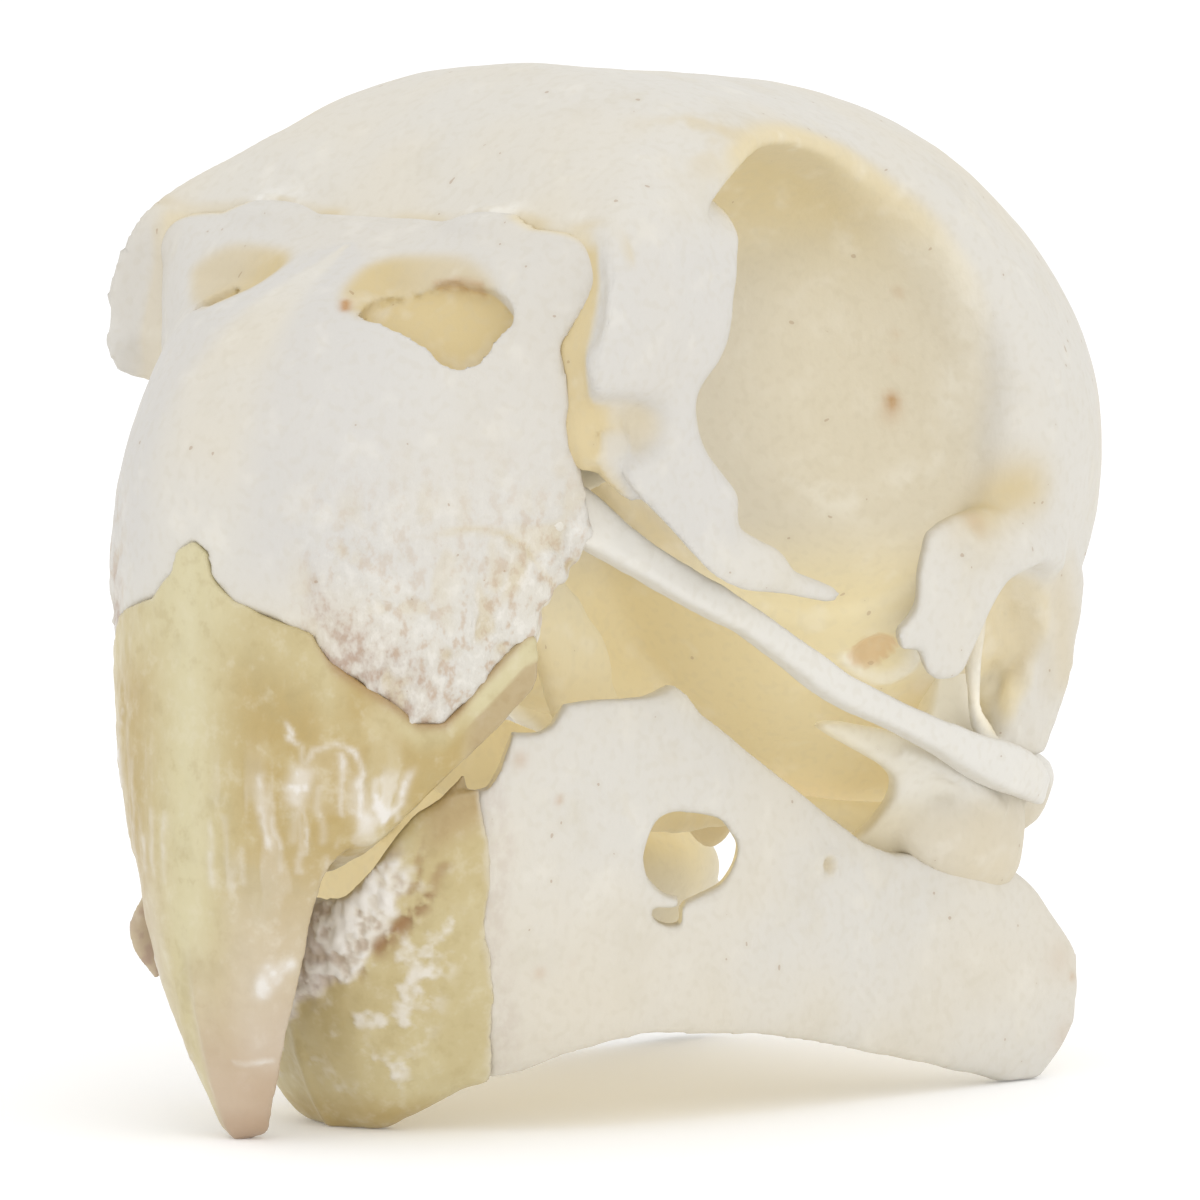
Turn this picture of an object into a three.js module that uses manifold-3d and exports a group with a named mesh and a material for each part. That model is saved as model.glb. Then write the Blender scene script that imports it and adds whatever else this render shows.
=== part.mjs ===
// A lovebird skull at life size: one named solid for each bone and each horn sheath of the bill.
//
// The frame is in millimetres, with +Z up. The beak points to -Y and the bird's left is +X. The skull stands on
// the plane Z = 0, on the bill's tip, the keel of the lower bill and the rear ends of the jaw, and the origin lies
// on that plane under the middle of the skull. While it is built, Y = 0 is the hinge between forehead and bill.

import * as THREE from "three";
import { mergeVertices } from "three/addons/utils/BufferGeometryUtils.js";
import Module from "manifold-3d";

const wasm = await Module();
wasm.setup();

// Driving dimensions
const GAP = 0.3; // clear space between bones that meet
const ORBIT = { x: 7.8, y: 7.4, z: 18.1, reachX: 7.0, reachY: 5.9, reachZ: 6.2 };
const NARIS = { x: 3.65, y: -1.8, z: 20.1, length: 4.4, height: 2.6, depth: 1.7 };
const JAW_WINDOW = { x: 6.3, y: 5.0, z: 6.85, length: 3.3, height: 2.1 };
const OCCIPUT_HOLE = { y: 20.3, z: 10.6, radius: 1.9 };
const BONE_COLOUR = 0xe6e0d2;
const HORN_COLOUR = 0xd9c98f;

// A smooth curve through rows of [parameter, value, value, ...]; it gives the values at any parameter.
function track(rows) {
  const size = rows[0].length - 1;
  const positions = rows.map((row) => row[0]);
  const values = rows.flatMap((row) => row.slice(1));
  const curve = new THREE.CubicInterpolant(positions, values, size, new Float64Array(size));
  return (t) => Array.from(curve.evaluate(t));
}

// Rows numbered 0 to 1 in equal steps, for a track whose rows give only values.
const evenly = (rows) => rows.map((row, i) => [i / (rows.length - 1), ...row]);

// cos and sin of an angle, pushed towards a box (power under 1) or a diamond (power over 1).
const squared = (value, power) => Math.sign(value) * Math.abs(value) ** power;

// A geometry with only its positions, each place held once.
function joined(geometry) {
  const bare = new THREE.BufferGeometry().setAttribute("position", geometry.getAttribute("position").clone());
  bare.setIndex(geometry.index ? geometry.index.clone() : null);
  return mergeVertices(bare, 1e-5);
}

// A solid from a closed three.js geometry.
function solidOf(geometry) {
  const { attributes, index } = joined(geometry);
  const mesh = new wasm.Mesh({
    numProp: 3,
    vertProperties: new Float32Array(attributes.position.array),
    triVerts: new Uint32Array(index.array),
  });
  return new wasm.Manifold(mesh);
}

// A three.js geometry from a solid.
function geometryOf(solid) {
  const { vertProperties, triVerts } = solid.getMesh();
  const geometry = new THREE.BufferGeometry();
  geometry.setAttribute("position", new THREE.BufferAttribute(new Float32Array(vertProperties), 3));
  geometry.setIndex(new THREE.BufferAttribute(new Uint32Array(triVerts), 1));
  geometry.computeVertexNormals();
  return geometry;
}

// The largest closed body of a solid, without the scraps that a cut leaves.
function largest(solid) {
  return solid.decompose().reduce((best, body) => (body.volume() > best.volume() ? body : best));
}

// A closed loft: point(t, angle) for t from 0 to 1 gives its rings, and a fan of triangles closes each end.
function loft(point, steps, sides) {
  const points = [];
  for (let i = 0; i <= steps; i++) {
    for (let j = 0; j < sides; j++) {
      points.push(point(i / steps, (2 * Math.PI * j) / sides));
    }
  }
  const rim = (i) => points.slice(i * sides, (i + 1) * sides);
  const middle = (ring) => ring.reduce((sum, p) => sum.add(p), new THREE.Vector3()).divideScalar(sides);
  const firstPole = points.length;
  points.push(middle(rim(0)), middle(rim(steps)));
  const faces = [];
  for (let j = 0; j < sides; j++) {
    const next = (j + 1) % sides;
    for (let i = 0; i < steps; i++) {
      const [a, b] = [i * sides + j, i * sides + next];
      faces.push(a, b, a + sides, b, b + sides, a + sides);
    }
    faces.push(firstPole, next, j, firstPole + 1, steps * sides + j, steps * sides + next);
  }
  const geometry = new THREE.BufferGeometry().setFromPoints(points);
  geometry.setIndex(faces);
  return turnedOut(geometry);
}

// The same geometry with its faces pointing out.
function turnedOut(geometry) {
  const p = geometry.getAttribute("position");
  const index = geometry.index.array;
  const [a, b, c] = [new THREE.Vector3(), new THREE.Vector3(), new THREE.Vector3()];
  let volume = 0;
  for (let i = 0; i < index.length; i += 3) {
    a.fromBufferAttribute(p, index[i]);
    b.fromBufferAttribute(p, index[i + 1]);
    c.fromBufferAttribute(p, index[i + 2]);
    volume += a.dot(b.cross(c));
  }
  if (volume < 0) index.reverse();
  return geometry;
}

// A copy of a geometry whose surface lies further out by the gap, to cut a neighbour clear of it.
function grown(geometry, distance = GAP) {
  const copy = joined(geometry);
  copy.computeVertexNormals();
  const [p, n] = [copy.getAttribute("position"), copy.getAttribute("normal")];
  for (let i = 0; i < p.count; i++) {
    p.setXYZ(
      i,
      p.getX(i) + n.getX(i) * distance,
      p.getY(i) + n.getY(i) * distance,
      p.getZ(i) + n.getZ(i) * distance,
    );
  }
  return copy;
}

// A solid with the gap cut between it and each of its neighbours, whole in one piece.
function clearOf(solid, ...neighbours) {
  return largest(neighbours.reduce((rest, geometry) => rest.subtract(solidOf(grown(geometry))), solid));
}

// A blade or rod swept along a path. Each row holds x, y, z, half breadth and half thickness, and the thickness
// lies along the side direction, turned square to the path.
function blade(rows, side, steps, sides, box = 1) {
  const at = track(evenly(rows));
  const point = (t) => new THREE.Vector3(...at(t).slice(0, 3));
  return loft((t, angle) => {
    const [x, y, z, breadth, thickness] = at(t);
    const ahead = point(Math.min(1, t + 0.01)).sub(point(Math.max(0, t - 0.01))).normalize();
    const across = new THREE.Vector3().crossVectors(ahead, side).normalize();
    const out = new THREE.Vector3().crossVectors(across, ahead);
    return new THREE.Vector3(x, y, z)
      .addScaledVector(across, breadth * squared(Math.cos(angle), box))
      .addScaledVector(out, thickness * squared(Math.sin(angle), box));
  }, steps, sides);
}

// An ellipsoid at a place, with its half axes.
function ellipsoid(place, reach, segments = 32) {
  const geometry = new THREE.SphereGeometry(1, segments, segments / 2);
  return geometry.scale(...reach).translate(...place);
}

// An outline in the YZ plane, extruded the same way to both sides.
function sidePlate(outline, halfWidth) {
  const shape = new THREE.Shape(outline.map(([y, z]) => new THREE.Vector2(y, z)));
  const geometry = new THREE.ExtrudeGeometry(shape, { depth: 2 * halfWidth, bevelEnabled: false });
  geometry.translate(0, 0, -halfWidth);
  const turn = new THREE.Matrix4().makeBasis(
    new THREE.Vector3(0, 1, 0),
    new THREE.Vector3(0, 0, 1),
    new THREE.Vector3(1, 0, 0),
  );
  return geometry.applyMatrix4(turn);
}

const LEFT = new THREE.Vector3(1, 0, 0);
const UP = new THREE.Vector3(0, 0, 1);
const mirrored = (geometry) => turnedOut(joined(geometry).scale(-1, 1, 1));
const bothSides = (geometry) => solidOf(geometry).add(solidOf(mirrored(geometry)));

// Cranium, from the hinge back over the eyes to the round occiput.
// Rows: y, half width, top, height of the widest place, bottom, boxiness (under 1 is boxy).
const CRANIUM_ROWS = [
  [0, 7.6, 22.4, 21.95, 21, 0.6],
  [1.1, 8, 23.75, 22.4, 20.6, 0.68],
  [2.7, 8.3, 25.15, 22.9, 20.2, 0.75],
  [4.7, 8, 25.95, 23.2, 18.5, 0.8],
  [7.2, 7.7, 25.95, 22.4, 13.4, 0.84],
  [9.9, 8.4, 25.75, 19.5, 9.2, 0.88],
  [12.8, 9.15, 25.6, 17.2, 7.7, 0.94],
  [16, 8.65, 24.9, 16.5, 7.4, 1],
  [18.75, 7, 23.1, 16.3, 8.6, 1],
  [20.6, 4.75, 20.9, 16.2, 11.2, 1],
  [21.6, 2.3, 18.6, 16.2, 13.8, 1],
  [21.87, 0.3, 16.6, 16.3, 16, 1],
];
function craniumShell() {
  const at = track(evenly(CRANIUM_ROWS));
  return loft((t, angle) => {
    const [y, halfWidth, top, waist, bottom, box] = at(t);
    const up = Math.sin(angle);
    return new THREE.Vector3(
      halfWidth * squared(Math.cos(angle), box),
      y,
      waist + (up > 0 ? top - waist : waist - bottom) * squared(up, box),
    );
  }, 24, 24);
}

// Outlines, from the side, of the three bones that the cranium is divided into.
const FRONTAL_OUTLINE = [[-1, 20.95], [8.65, 22.1], [8.65, 30], [-1, 30]];
const SEPTUM_REGION = [[-1, 20.65], [8.65, 21.8], [8.65, 5], [-1, 5]];
const BRAINCASE_OUTLINE = [[8.95, 5], [8.95, 30], [25, 30], [25, 5]];

// Eye socket: the hollow that is cut out of the left of the skull.
const orbitHollow = () => ellipsoid([ORBIT.x, ORBIT.y, ORBIT.z], [ORBIT.reachX, ORBIT.reachY, ORBIT.reachZ], 28);

// Lacrimal: the plate before the eye, with the hooked process below it.
// Rows: x, y, z, half breadth, half thickness.
const LACRIMAL_ROWS = [
  [6.8, 2.6, 23, 1.5, 0.6],
  [8.2, 1.8, 21.7, 2.15, 0.55],
  [8.8, 1.25, 20.3, 2.1, 0.5],
  [8.8, 1, 19.2, 1.8, 0.5],
  [8.2, 1.1, 17.8, 1.55, 0.5],
  [7.95, 2.2, 16.1, 1.5, 0.5],
  [8.1, 4, 14.6, 1.15, 0.45],
  [8.35, 5.8, 13.7, 0.7, 0.38],
  [8.5, 7.5, 13, 0.2, 0.2],
];

// Interorbital septum with its keel, and the wings in front of the eyes.
const SEPTUM_OUTLINE = [
  [0.6, 21.0],
  [0.9, 13.2],
  [3.5, 11.2],
  [7, 9.8],
  [12, 8.6],
  [12, 25],
  [5, 24.5],
  [1.5, 23],
];
const SEPTUM_HALF_WIDTH = 0.5;
const ROSTRUM_ROWS = [
  [0, 0.8, 13.0, 0.55, 0.6],
  [0, 4, 11.4, 0.8, 0.8],
  [0, 8, 10.0, 0.95, 1.0],
  [0, 12, 9.0, 1.3, 1.4],
];
const WING_ROWS = [
  [0, 2.1, 18.4, 3.9, 0.9],
  [3, 1.9, 18.6, 3.5, 0.6],
  [5.6, 1.6, 18.9, 2.9, 0.5],
  [7.9, 1.3, 19.3, 2, 0.45],
];

// Upper bill. Rows: culmen y, z; cutting edge x, y, z; how far the palate lies above the cutting edges; boxiness.
const BILL_ROWS = [
  [-0.3, 22.25, 7.4, 0.1, 15.6, 0.4, 0.32],
  [-2.2, 21.3, 7.1, 0.3, 13.7, 1.2, 0.85],
  [-4.3, 19.8, 6.6, -0.4, 12.2, 1.6, 0.95],
  [-5.95, 17.4, 5.95, -1.6, 10.7, 1.8, 0.92],
  [-6.7, 14.4, 5.2, -3, 9.1, 1.8, 0.92],
  [-6.8, 11.2, 4.3, -4.2, 7.8, 1.5, 0.92],
  [-6.7, 8, 3.2, -5, 6.6, 1, 0.92],
  [-6.45, 5, 2.2, -5.1, 4.2, 0.5, 0.9],
  [-5.85, 2.3, 1.3, -4.9, 1.9, 0.25, 0.92],
  [-4.95, -0.1, 0.35, -4.45, -0.1, 0.05, 1],
];
function billShell() {
  const at = track(evenly(BILL_ROWS));
  return loft((t, angle) => {
    const [topY, topZ, edgeX, edgeY, edgeZ, palate, box] = at(t);
    const rise = new THREE.Vector2(topY - edgeY, topZ - edgeZ);
    const along = Math.cos(angle);
    const share = along > 0 ? squared(along, box) : (palate / rise.length()) * along * along;
    return new THREE.Vector3(
      edgeX * squared(Math.sin(angle), along > 0 ? box : 1),
      edgeY + rise.x * share,
      edgeZ + rise.y * share,
    );
  }, 22, 28);
}

// The line where the horn of the upper bill begins, seen from the side, closed round the horn below it.
const UPPER_HORN_LINE = [
  [-9.5, 15.0],
  [-6.85, 14.7],
  [-6.6, 13.4],
  [-6.0, 12.6],
  [-5.3, 11.5],
  [-4.1, 10.4],
  [-3.4, 10.3],
  [-2.6, 10.9],
  [-0.9, 12.4],
  [1.5, 13.6],
  [1.5, -2],
  [-9.5, -2],
];

// Lower jaw, from the chin back along the left side.
// Rows: upper edge x, y, z; lower edge x, y, z; thickness.
const JAW_ROWS = [
  [0.01, -4.2, 5.6, 0.01, -2.1, -0.1, 1.7],
  [2.3, -3.9, 6, 1.6, -1.85, 0.1, 1.6],
  [4.1, -3.2, 7.2, 3.2, -1, 0.95, 1.3],
  [5, -2.3, 8.8, 4.5, 0.3, 1.5, 1.1],
  [5.6, -1, 10, 5.4, 1.5, 2, 1],
  [6, 1.6, 10.4, 6.1, 3.4, 2.3, 0.95],
  [6.1, 4.4, 10.8, 6.5, 5.6, 2.2, 0.95],
  [6.3, 7.3, 9, 6.7, 8.3, 1.85, 0.95],
  [6.5, 10.8, 6.7, 6.8, 11.6, 1.1, 1.1],
  [6.6, 14.2, 5.8, 6.8, 15, 0.35, 1.5],
  [6.6, 16.6, 5.2, 6.7, 17.1, -0.1, 1.5],
  [6.6, 18.4, 3.2, 6.6, 18.3, 1.2, 1],
];
function jawSide() {
  const at = track(evenly(JAW_ROWS));
  const middle = (t) => {
    const [topX, topY, , lowX, lowY] = at(t);
    return new THREE.Vector2((topX + lowX) / 2, (topY + lowY) / 2);
  };
  return loft((t, angle) => {
    const [topX, topY, topZ, lowX, lowY, lowZ, thickness] = at(t);
    const ahead = middle(Math.min(1, t + 0.01)).sub(middle(Math.max(0, t - 0.01))).normalize();
    const up = (squared(Math.cos(angle), 0.8) + 1) / 2;
    const out = (thickness / 2) * (squared(Math.sin(angle), 0.8) - 1);
    return new THREE.Vector3(
      lowX + (topX - lowX) * up + ahead.y * out,
      lowY + (topY - lowY) * up - ahead.x * out,
      lowZ + (topZ - lowZ) * up,
    );
  }, 30, 12);
}

// The line where the horn of the lower bill ends, seen from the side, closed round the horn before it.
const LOWER_HORN_LINE = [
  [-6, 12],
  [-1.5, 12],
  [-1.6, 8.5],
  [-1.3, 5],
  [-0.6, 2.5],
  [0.9, -1],
  [-6, -1],
];

const JUGAL_ROWS = [
  [7, 0.75, 15.3, 0.62, 0.4],
  [7.4, 2.4, 14.1, 0.48, 0.4],
  [7.85, 6, 12, 0.42, 0.4],
  [8, 10, 10, 0.42, 0.4],
  [8, 13, 8.8, 0.5, 0.42],
  [7.95, 14.9, 8.1, 0.55, 0.45],
];
const QUADRATE_SHAFT_ROWS = [
  [7.2, 14.4, 12.2, 0.7, 0.5],
  [7, 14.8, 10.6, 0.9, 0.6],
  [6.6, 14.9, 9, 1.9, 0.85],
  [6.4, 14.3, 7.7, 2.8, 1],
  [6.4, 14, 6.5, 2.9, 1],
  [6.4, 14.2, 5.6, 2.4, 0.8],
];
const QUADRATE_REACH_ROWS = [
  [6.5, 14.6, 8.4, 1.4, 0.8],
  [6.1, 13.2, 8.6, 1.1, 0.6],
  [5.6, 12, 9, 0.7, 0.45],
  [5.1, 10.9, 9.35, 0.35, 0.3],
];
const PALATINE_ROWS = [
  [3.4, 0.6, 12.4, 1.4, 0.45],
  [3.3, 2.6, 11.0, 2.0, 0.4],
  [2.7, 5.4, 9.5, 2.4, 0.4],
  [2.1, 8.4, 8.4, 2.0, 0.4],
  [1.8, 11.0, 7.7, 0.8, 0.4],
];
const PTERYGOID_ROWS = [
  [2.0, 11.2, 7.2, 0.4, 0.4],
  [3.6, 12.7, 6.9, 0.4, 0.4],
  [5.4, 14.2, 6.8, 0.45, 0.45],
];
const POSTORBITAL_ROWS = [
  [8.2, 14.0, 16.6, 1.5, 0.6],
  [8.95, 12.7, 14.6, 1.35, 0.5],
  [9.1, 11.5, 12.8, 1.25, 0.45],
  [9.0, 10.8, 11.1, 1.0, 0.4],
];
const PAROCCIPITAL_ROWS = [
  [6.2, 16.2, 13.0, 1.7, 1.4],
  [6.5, 16.5, 11.0, 1.5, 1.0],
  [6.5, 16.7, 9.6, 1.2, 0.7],
  [6.4, 16.8, 8.6, 0.8, 0.4],
];

const orbits = bothSides(orbitHollow());
const ground = solidOf(new THREE.BoxGeometry(60, 60, 10).translate(0, 6, -5));
const shell = craniumShell();
const bill = billShell();

// Cranium: hollowed for the eyes and divided into roof, septum and braincase.
const rostrum = blade(ROSTRUM_ROWS, LEFT, 8, 10);
const wing = blade(WING_ROWS, new THREE.Vector3(0, 1, 0), 6, 12, 0.8);
const postorbital = blade(POSTORBITAL_ROWS, LEFT, 8, 10, 0.75);
const paroccipital = blade(PAROCCIPITAL_ROWS, LEFT, 6, 10);
const occiputHole = ellipsoid([0, OCCIPUT_HOLE.y, OCCIPUT_HOLE.z], Array(3).fill(OCCIPUT_HOLE.radius), 16);
const cranium = solidOf(shell).subtract(orbits);
const frontal = largest(cranium.intersect(solidOf(sidePlate(FRONTAL_OUTLINE, 15))));
const septum = largest(
  cranium
    .add(solidOf(sidePlate(SEPTUM_OUTLINE, SEPTUM_HALF_WIDTH)))
    .add(solidOf(rostrum))
    .add(bothSides(wing))
    .intersect(solidOf(sidePlate(SEPTUM_REGION, 15))),
);
const braincase = largest(
  cranium
    .intersect(solidOf(sidePlate(BRAINCASE_OUTLINE, 15)))
    .add(bothSides(postorbital))
    .add(bothSides(paroccipital))
    .subtract(solidOf(occiputHole)),
);
const lacrimal = clearOf(solidOf(blade(LACRIMAL_ROWS, LEFT, 18, 10, 0.8)), shell, wing);

// Nostrils, sunk square to the slope of the bill.
function nostril() {
  const inward = new THREE.Vector3(-0.5, 0.62, -0.6).normalize();
  const along = new THREE.Vector3(0.75, 0.58, -0.2);
  const across = new THREE.Vector3().crossVectors(inward, along).normalize();
  along.crossVectors(across, inward);
  const geometry = new THREE.SphereGeometry(1, 20, 12);
  geometry.scale(NARIS.length / 2, NARIS.height / 2, NARIS.depth);
  geometry.applyMatrix4(new THREE.Matrix4().makeBasis(along, across, inward));
  return geometry.translate(NARIS.x, NARIS.y, NARIS.z);
}
const hornRegion = sidePlate(UPPER_HORN_LINE, 12);
const billSolid = solidOf(bill).subtract(ground);
const upperBill = clearOf(billSolid.subtract(bothSides(nostril())), hornRegion);
const upperHorn = largest(billSolid.intersect(solidOf(hornRegion)));

// Lower jaw: its horn in front, and a bony side on the left that is mirrored to the right.
const jawLeft = jawSide();
const jaw = bothSides(jawLeft).subtract(ground);
const lowerHornRegion = sidePlate(LOWER_HORN_LINE, 12);
const lowerHorn = clearOf(jaw.intersect(solidOf(lowerHornRegion)), bill);
const jawWindow = ellipsoid(
  [JAW_WINDOW.x, JAW_WINDOW.y, JAW_WINDOW.z],
  [3, JAW_WINDOW.length / 2, JAW_WINDOW.height / 2],
  16,
);
const leftHalf = solidOf(new THREE.BoxGeometry(20, 60, 60).translate(10 + GAP / 2, 6, 10));
const ramus = clearOf(jaw.intersect(leftHalf).subtract(solidOf(jawWindow)), lowerHornRegion);

// The small bones between jaw, bill and cranium.
const quadrate = clearOf(
  solidOf(blade(QUADRATE_SHAFT_ROWS, LEFT, 12, 12)).add(solidOf(blade(QUADRATE_REACH_ROWS, LEFT, 6, 10))),
  shell,
  postorbital,
  paroccipital,
  jawLeft,
);
const jugal = clearOf(solidOf(blade(JUGAL_ROWS, LEFT, 12, 8)), bill, geometryOf(quadrate), paroccipital);
const palatine = clearOf(solidOf(blade(PALATINE_ROWS, LEFT, 12, 10, 0.8)), bill, shell, rostrum, wing);
const pterygoid = clearOf(
  solidOf(blade(PTERYGOID_ROWS, UP, 6, 8)),
  geometryOf(palatine),
  shell,
  geometryOf(quadrate),
);

// Assembly
const bone = new THREE.MeshStandardMaterial({ color: BONE_COLOUR, roughness: 0.55, metalness: 0 });
const horn = new THREE.MeshStandardMaterial({ color: HORN_COLOUR, roughness: 0.4, metalness: 0 });
const skull = new THREE.Group();

function place(name, solid, material, mirror = false) {
  const mesh = new THREE.Mesh(geometryOf(solid), material);
  mesh.name = name;
  if (mirror) mesh.scale.x = -1;
  skull.add(mesh);
}
function placePair(name, solid, material) {
  place(`${name}_left`, solid, material);
  place(`${name}_right`, solid, material, true);
}

place("braincase", braincase, bone);
place("frontal", frontal, bone);
place("interorbital_septum", septum, bone);
place("upper_bill", upperBill, bone);
place("upper_bill_sheath", upperHorn, horn);
place("lower_bill_sheath", lowerHorn, horn);
placePair("lacrimal", lacrimal, bone);
placePair("jaw_ramus", ramus, bone);
placePair("jugal_bar", jugal, bone);
placePair("quadrate", quadrate, bone);
placePair("palatine", palatine, bone);
placePair("pterygoid", pterygoid, bone);

const box = new THREE.Box3().setFromObject(skull);
skull.position.set(0, -(box.min.y + box.max.y) / 2, -box.min.z);

export default skull;
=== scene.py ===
import bpy
import numpy as np
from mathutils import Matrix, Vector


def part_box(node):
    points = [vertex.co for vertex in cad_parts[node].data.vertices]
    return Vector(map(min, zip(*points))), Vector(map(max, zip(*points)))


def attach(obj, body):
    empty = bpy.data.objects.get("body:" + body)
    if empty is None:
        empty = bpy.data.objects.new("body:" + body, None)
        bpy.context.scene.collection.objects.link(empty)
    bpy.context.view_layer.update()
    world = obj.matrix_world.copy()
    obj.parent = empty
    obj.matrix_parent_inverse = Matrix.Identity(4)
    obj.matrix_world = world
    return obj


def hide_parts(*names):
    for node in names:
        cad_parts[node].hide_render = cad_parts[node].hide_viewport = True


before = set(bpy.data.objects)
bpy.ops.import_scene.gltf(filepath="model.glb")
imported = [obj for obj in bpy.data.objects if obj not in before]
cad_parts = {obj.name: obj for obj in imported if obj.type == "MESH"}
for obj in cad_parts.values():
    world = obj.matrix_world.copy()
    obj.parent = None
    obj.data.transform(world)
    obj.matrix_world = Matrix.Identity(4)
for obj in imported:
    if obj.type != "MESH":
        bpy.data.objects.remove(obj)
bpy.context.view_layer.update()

import openvdb
from bpy.props import FloatProperty, FloatVectorProperty, PointerProperty
from mathutils import Vector

bl_info = {
    "name": "Lovebird skull",
    "version": (1, 0, 0),
    "blender": (4, 5, 0),
    "location": "View3D > Sidebar > Skull",
    "description": "Builds the dressed skull of a small parrot around its packed solids",
    "category": "Object",
}

MM = 0.001

# Every table below is in millimetres from the middle of the hinge between forehead and bill:
# x to the bird's left, y to its back, z up from the table.
HINGE = np.array([0.0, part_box("frontal")[0][1] / MM, 0.0])

# y, half width, top, waist height, bottom, squareness of the section's curve
CRANIUM = np.array([
    [0, 7.8, 22.4, 21.95, 21, 0.5], [1.1, 7.8, 23.7, 22.3, 20.6, 0.85],
    [2.7, 7.9, 25.15, 22.7, 20.2, 0.95], [4.7, 7.9, 26.05, 23.1, 18.5, 0.92],
    [7.2, 7.7, 25.95, 22.4, 13.4, 0.84], [9.9, 8.4, 25.75, 19.5, 9.2, 0.88],
    [12.8, 9.15, 25.5, 17.2, 7.7, 0.96], [16, 8.65, 24.65, 16.5, 7.4, 1.03],
    [18.75, 7, 22.75, 16.3, 8.6, 1.03], [20.6, 4.75, 20.6, 16.2, 11.2, 1],
    [21.6, 2.3, 18.6, 16.2, 13.8, 1], [21.87, 0.3, 16.6, 16.3, 16, 1],
])

# Blades: x, y, z of the middle line, half breadth, half thickness
SEPTUM = np.array([
    [0, 0.7, 17, 3.8, 0.45], [0, 3.5, 17.3, 6.1, 0.45], [0, 7, 16.9, 7.1, 0.5],
    [0, 12, 16.8, 8.2, 0.6],
])
ROSTRUM = np.array([
    [0, 0.8, 13, 0.55, 0.6], [0, 4, 11.4, 0.8, 0.8], [0, 8, 10, 0.95, 1], [0, 12, 9, 1.3, 1.4],
])
WING = np.array([
    [0, 2.1, 18.4, 3.9, 0.9], [3, 1.9, 18.6, 3.5, 0.6], [5.6, 1.6, 18.9, 2.9, 0.5],
    [7.9, 1.3, 19.3, 2, 0.45],
])
STRUT = np.array([
    [7.7, 13.25, 12.4, 0.3, 0.3], [7.7, 13.2, 10.9, 0.21, 0.2], [7.6, 13.35, 9.9, 0.23, 0.2],
    [7.5, 13.75, 9.3, 0.32, 0.22], [7.4, 14.15, 8.8, 0.4, 0.25], [7.3, 14.6, 8.4, 0.6, 0.3],
])
CHEEK_RIDGE = np.array([
    [8.7, 11.4, 14.3, 0.5, 0.3], [8.75, 13.6, 13.9, 0.5, 0.35], [8.2, 15.3, 13.6, 0.4, 0.3],
])
JUGAL = np.array([
    [6.35, -0.8, 16, 0.7, 0.3], [6.7, 0.1, 15.45, 0.68, 0.36], [6.92, 0.95, 14.88, 0.52, 0.4],
    [7.2, 1.9, 14.28, 0.43, 0.4], [7.43, 2.9, 13.7, 0.42, 0.4], [7.6, 4, 13.15, 0.4, 0.4],
    [7.72, 5.3, 12.45, 0.35, 0.38], [7.84, 6.64, 11.62, 0.36, 0.38], [7.94, 8.08, 10.78, 0.39, 0.38],
    [8, 10.2, 9.88, 0.37, 0.4], [8, 11.8, 9.23, 0.42, 0.42], [7.89, 13.4, 8.62, 0.56, 0.45],
    [7.5, 15, 8.15, 0.6, 0.4], [7, 16.2, 7.75, 0.5, 0.3], [6.7, 16.8, 7.5, 0.4, 0.2],
])
QUADRATE_RIDGE = np.array([
    [6.8, 11.5, 8.9, 0.2, 0.2], [7.05, 12.6, 8.5, 0.24, 0.22], [7.1, 13.6, 8, 0.22, 0.2],
    [7.05, 15, 7.1, 0.15, 0.15],
])
QUADRATE_HEAD = np.array([
    [6.1, 13.3, 11.8, 0.4, 0.4], [6.1, 13.5, 10.6, 0.5, 0.5], [6.3, 14.1, 9, 0.9, 0.7],
    [6.3, 14.5, 7.6, 1.8, 0.8], [6.2, 14.2, 6.2, 2.2, 0.8], [6, 14, 5.6, 1.8, 0.6],
])
PALATINE = np.array([
    [3.4, 0.5, 14.3, 0.7, 0.4], [3.3, 1.9, 13.5, 0.8, 0.42], [3.3, 2.85, 12.2, 0.95, 0.42],
    [3.3, 3.45, 11.3, 1.1, 0.42], [3.2, 3.85, 10.3, 1.05, 0.42], [3, 4.8, 9, 1.2, 0.42],
    [2.6, 6.7, 8.1, 1.2, 0.4], [2.1, 9, 7.6, 0.9, 0.4], [1.8, 11, 7.4, 0.6, 0.4],
])
PTERYGOID = np.array([
    [2, 11.2, 7.2, 0.4, 0.4], [3.6, 12.7, 6.9, 0.4, 0.4], [5.4, 14.2, 6.8, 0.45, 0.45],
])

# Loops in y and z: plates round the orbit and the ear, the quadrate and the window of the jaw
LACRIMAL = np.array([
    [5.2, 24.6], [4.6, 23.5], [4.32, 22.53], [4.12, 22.04], [3.68, 21.31], [3.39, 20.49], [3.34, 19.73],
    [3.11, 19.14], [2.76, 18.73], [2.54, 18.32], [2.54, 17.9], [2.7, 17.38], [2.99, 16.86], [3.49, 16.32],
    [3.83, 15.97], [3.99, 15.7], [3.95, 15.2], [4.05, 14.94], [4.44, 14.75], [4.78, 14.56], [5.12, 14.46],
    [5.5, 14.14], [5.75, 13.83], [6.24, 13.65], [7.13, 13.32], [7.22, 13.17], [6.95, 13], [6.29, 13.09],
    [4.98, 13.36], [3.75, 13.53], [2.97, 13.91], [2.34, 14.45], [1.75, 15.05], [1.15, 15.6], [0.75, 15.95],
    [0.3, 16.38], [-0.1, 16.95], [-0.55, 17.45], [-0.95, 18.08], [-1.05, 18.7], [-1.2, 19.05],
    [-1.22, 19.35], [-1.05, 19.77], [-0.95, 20.43], [-0.7, 21.25], [-0.3, 22.01], [0.6, 23], [2.6, 24.2],
])
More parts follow.
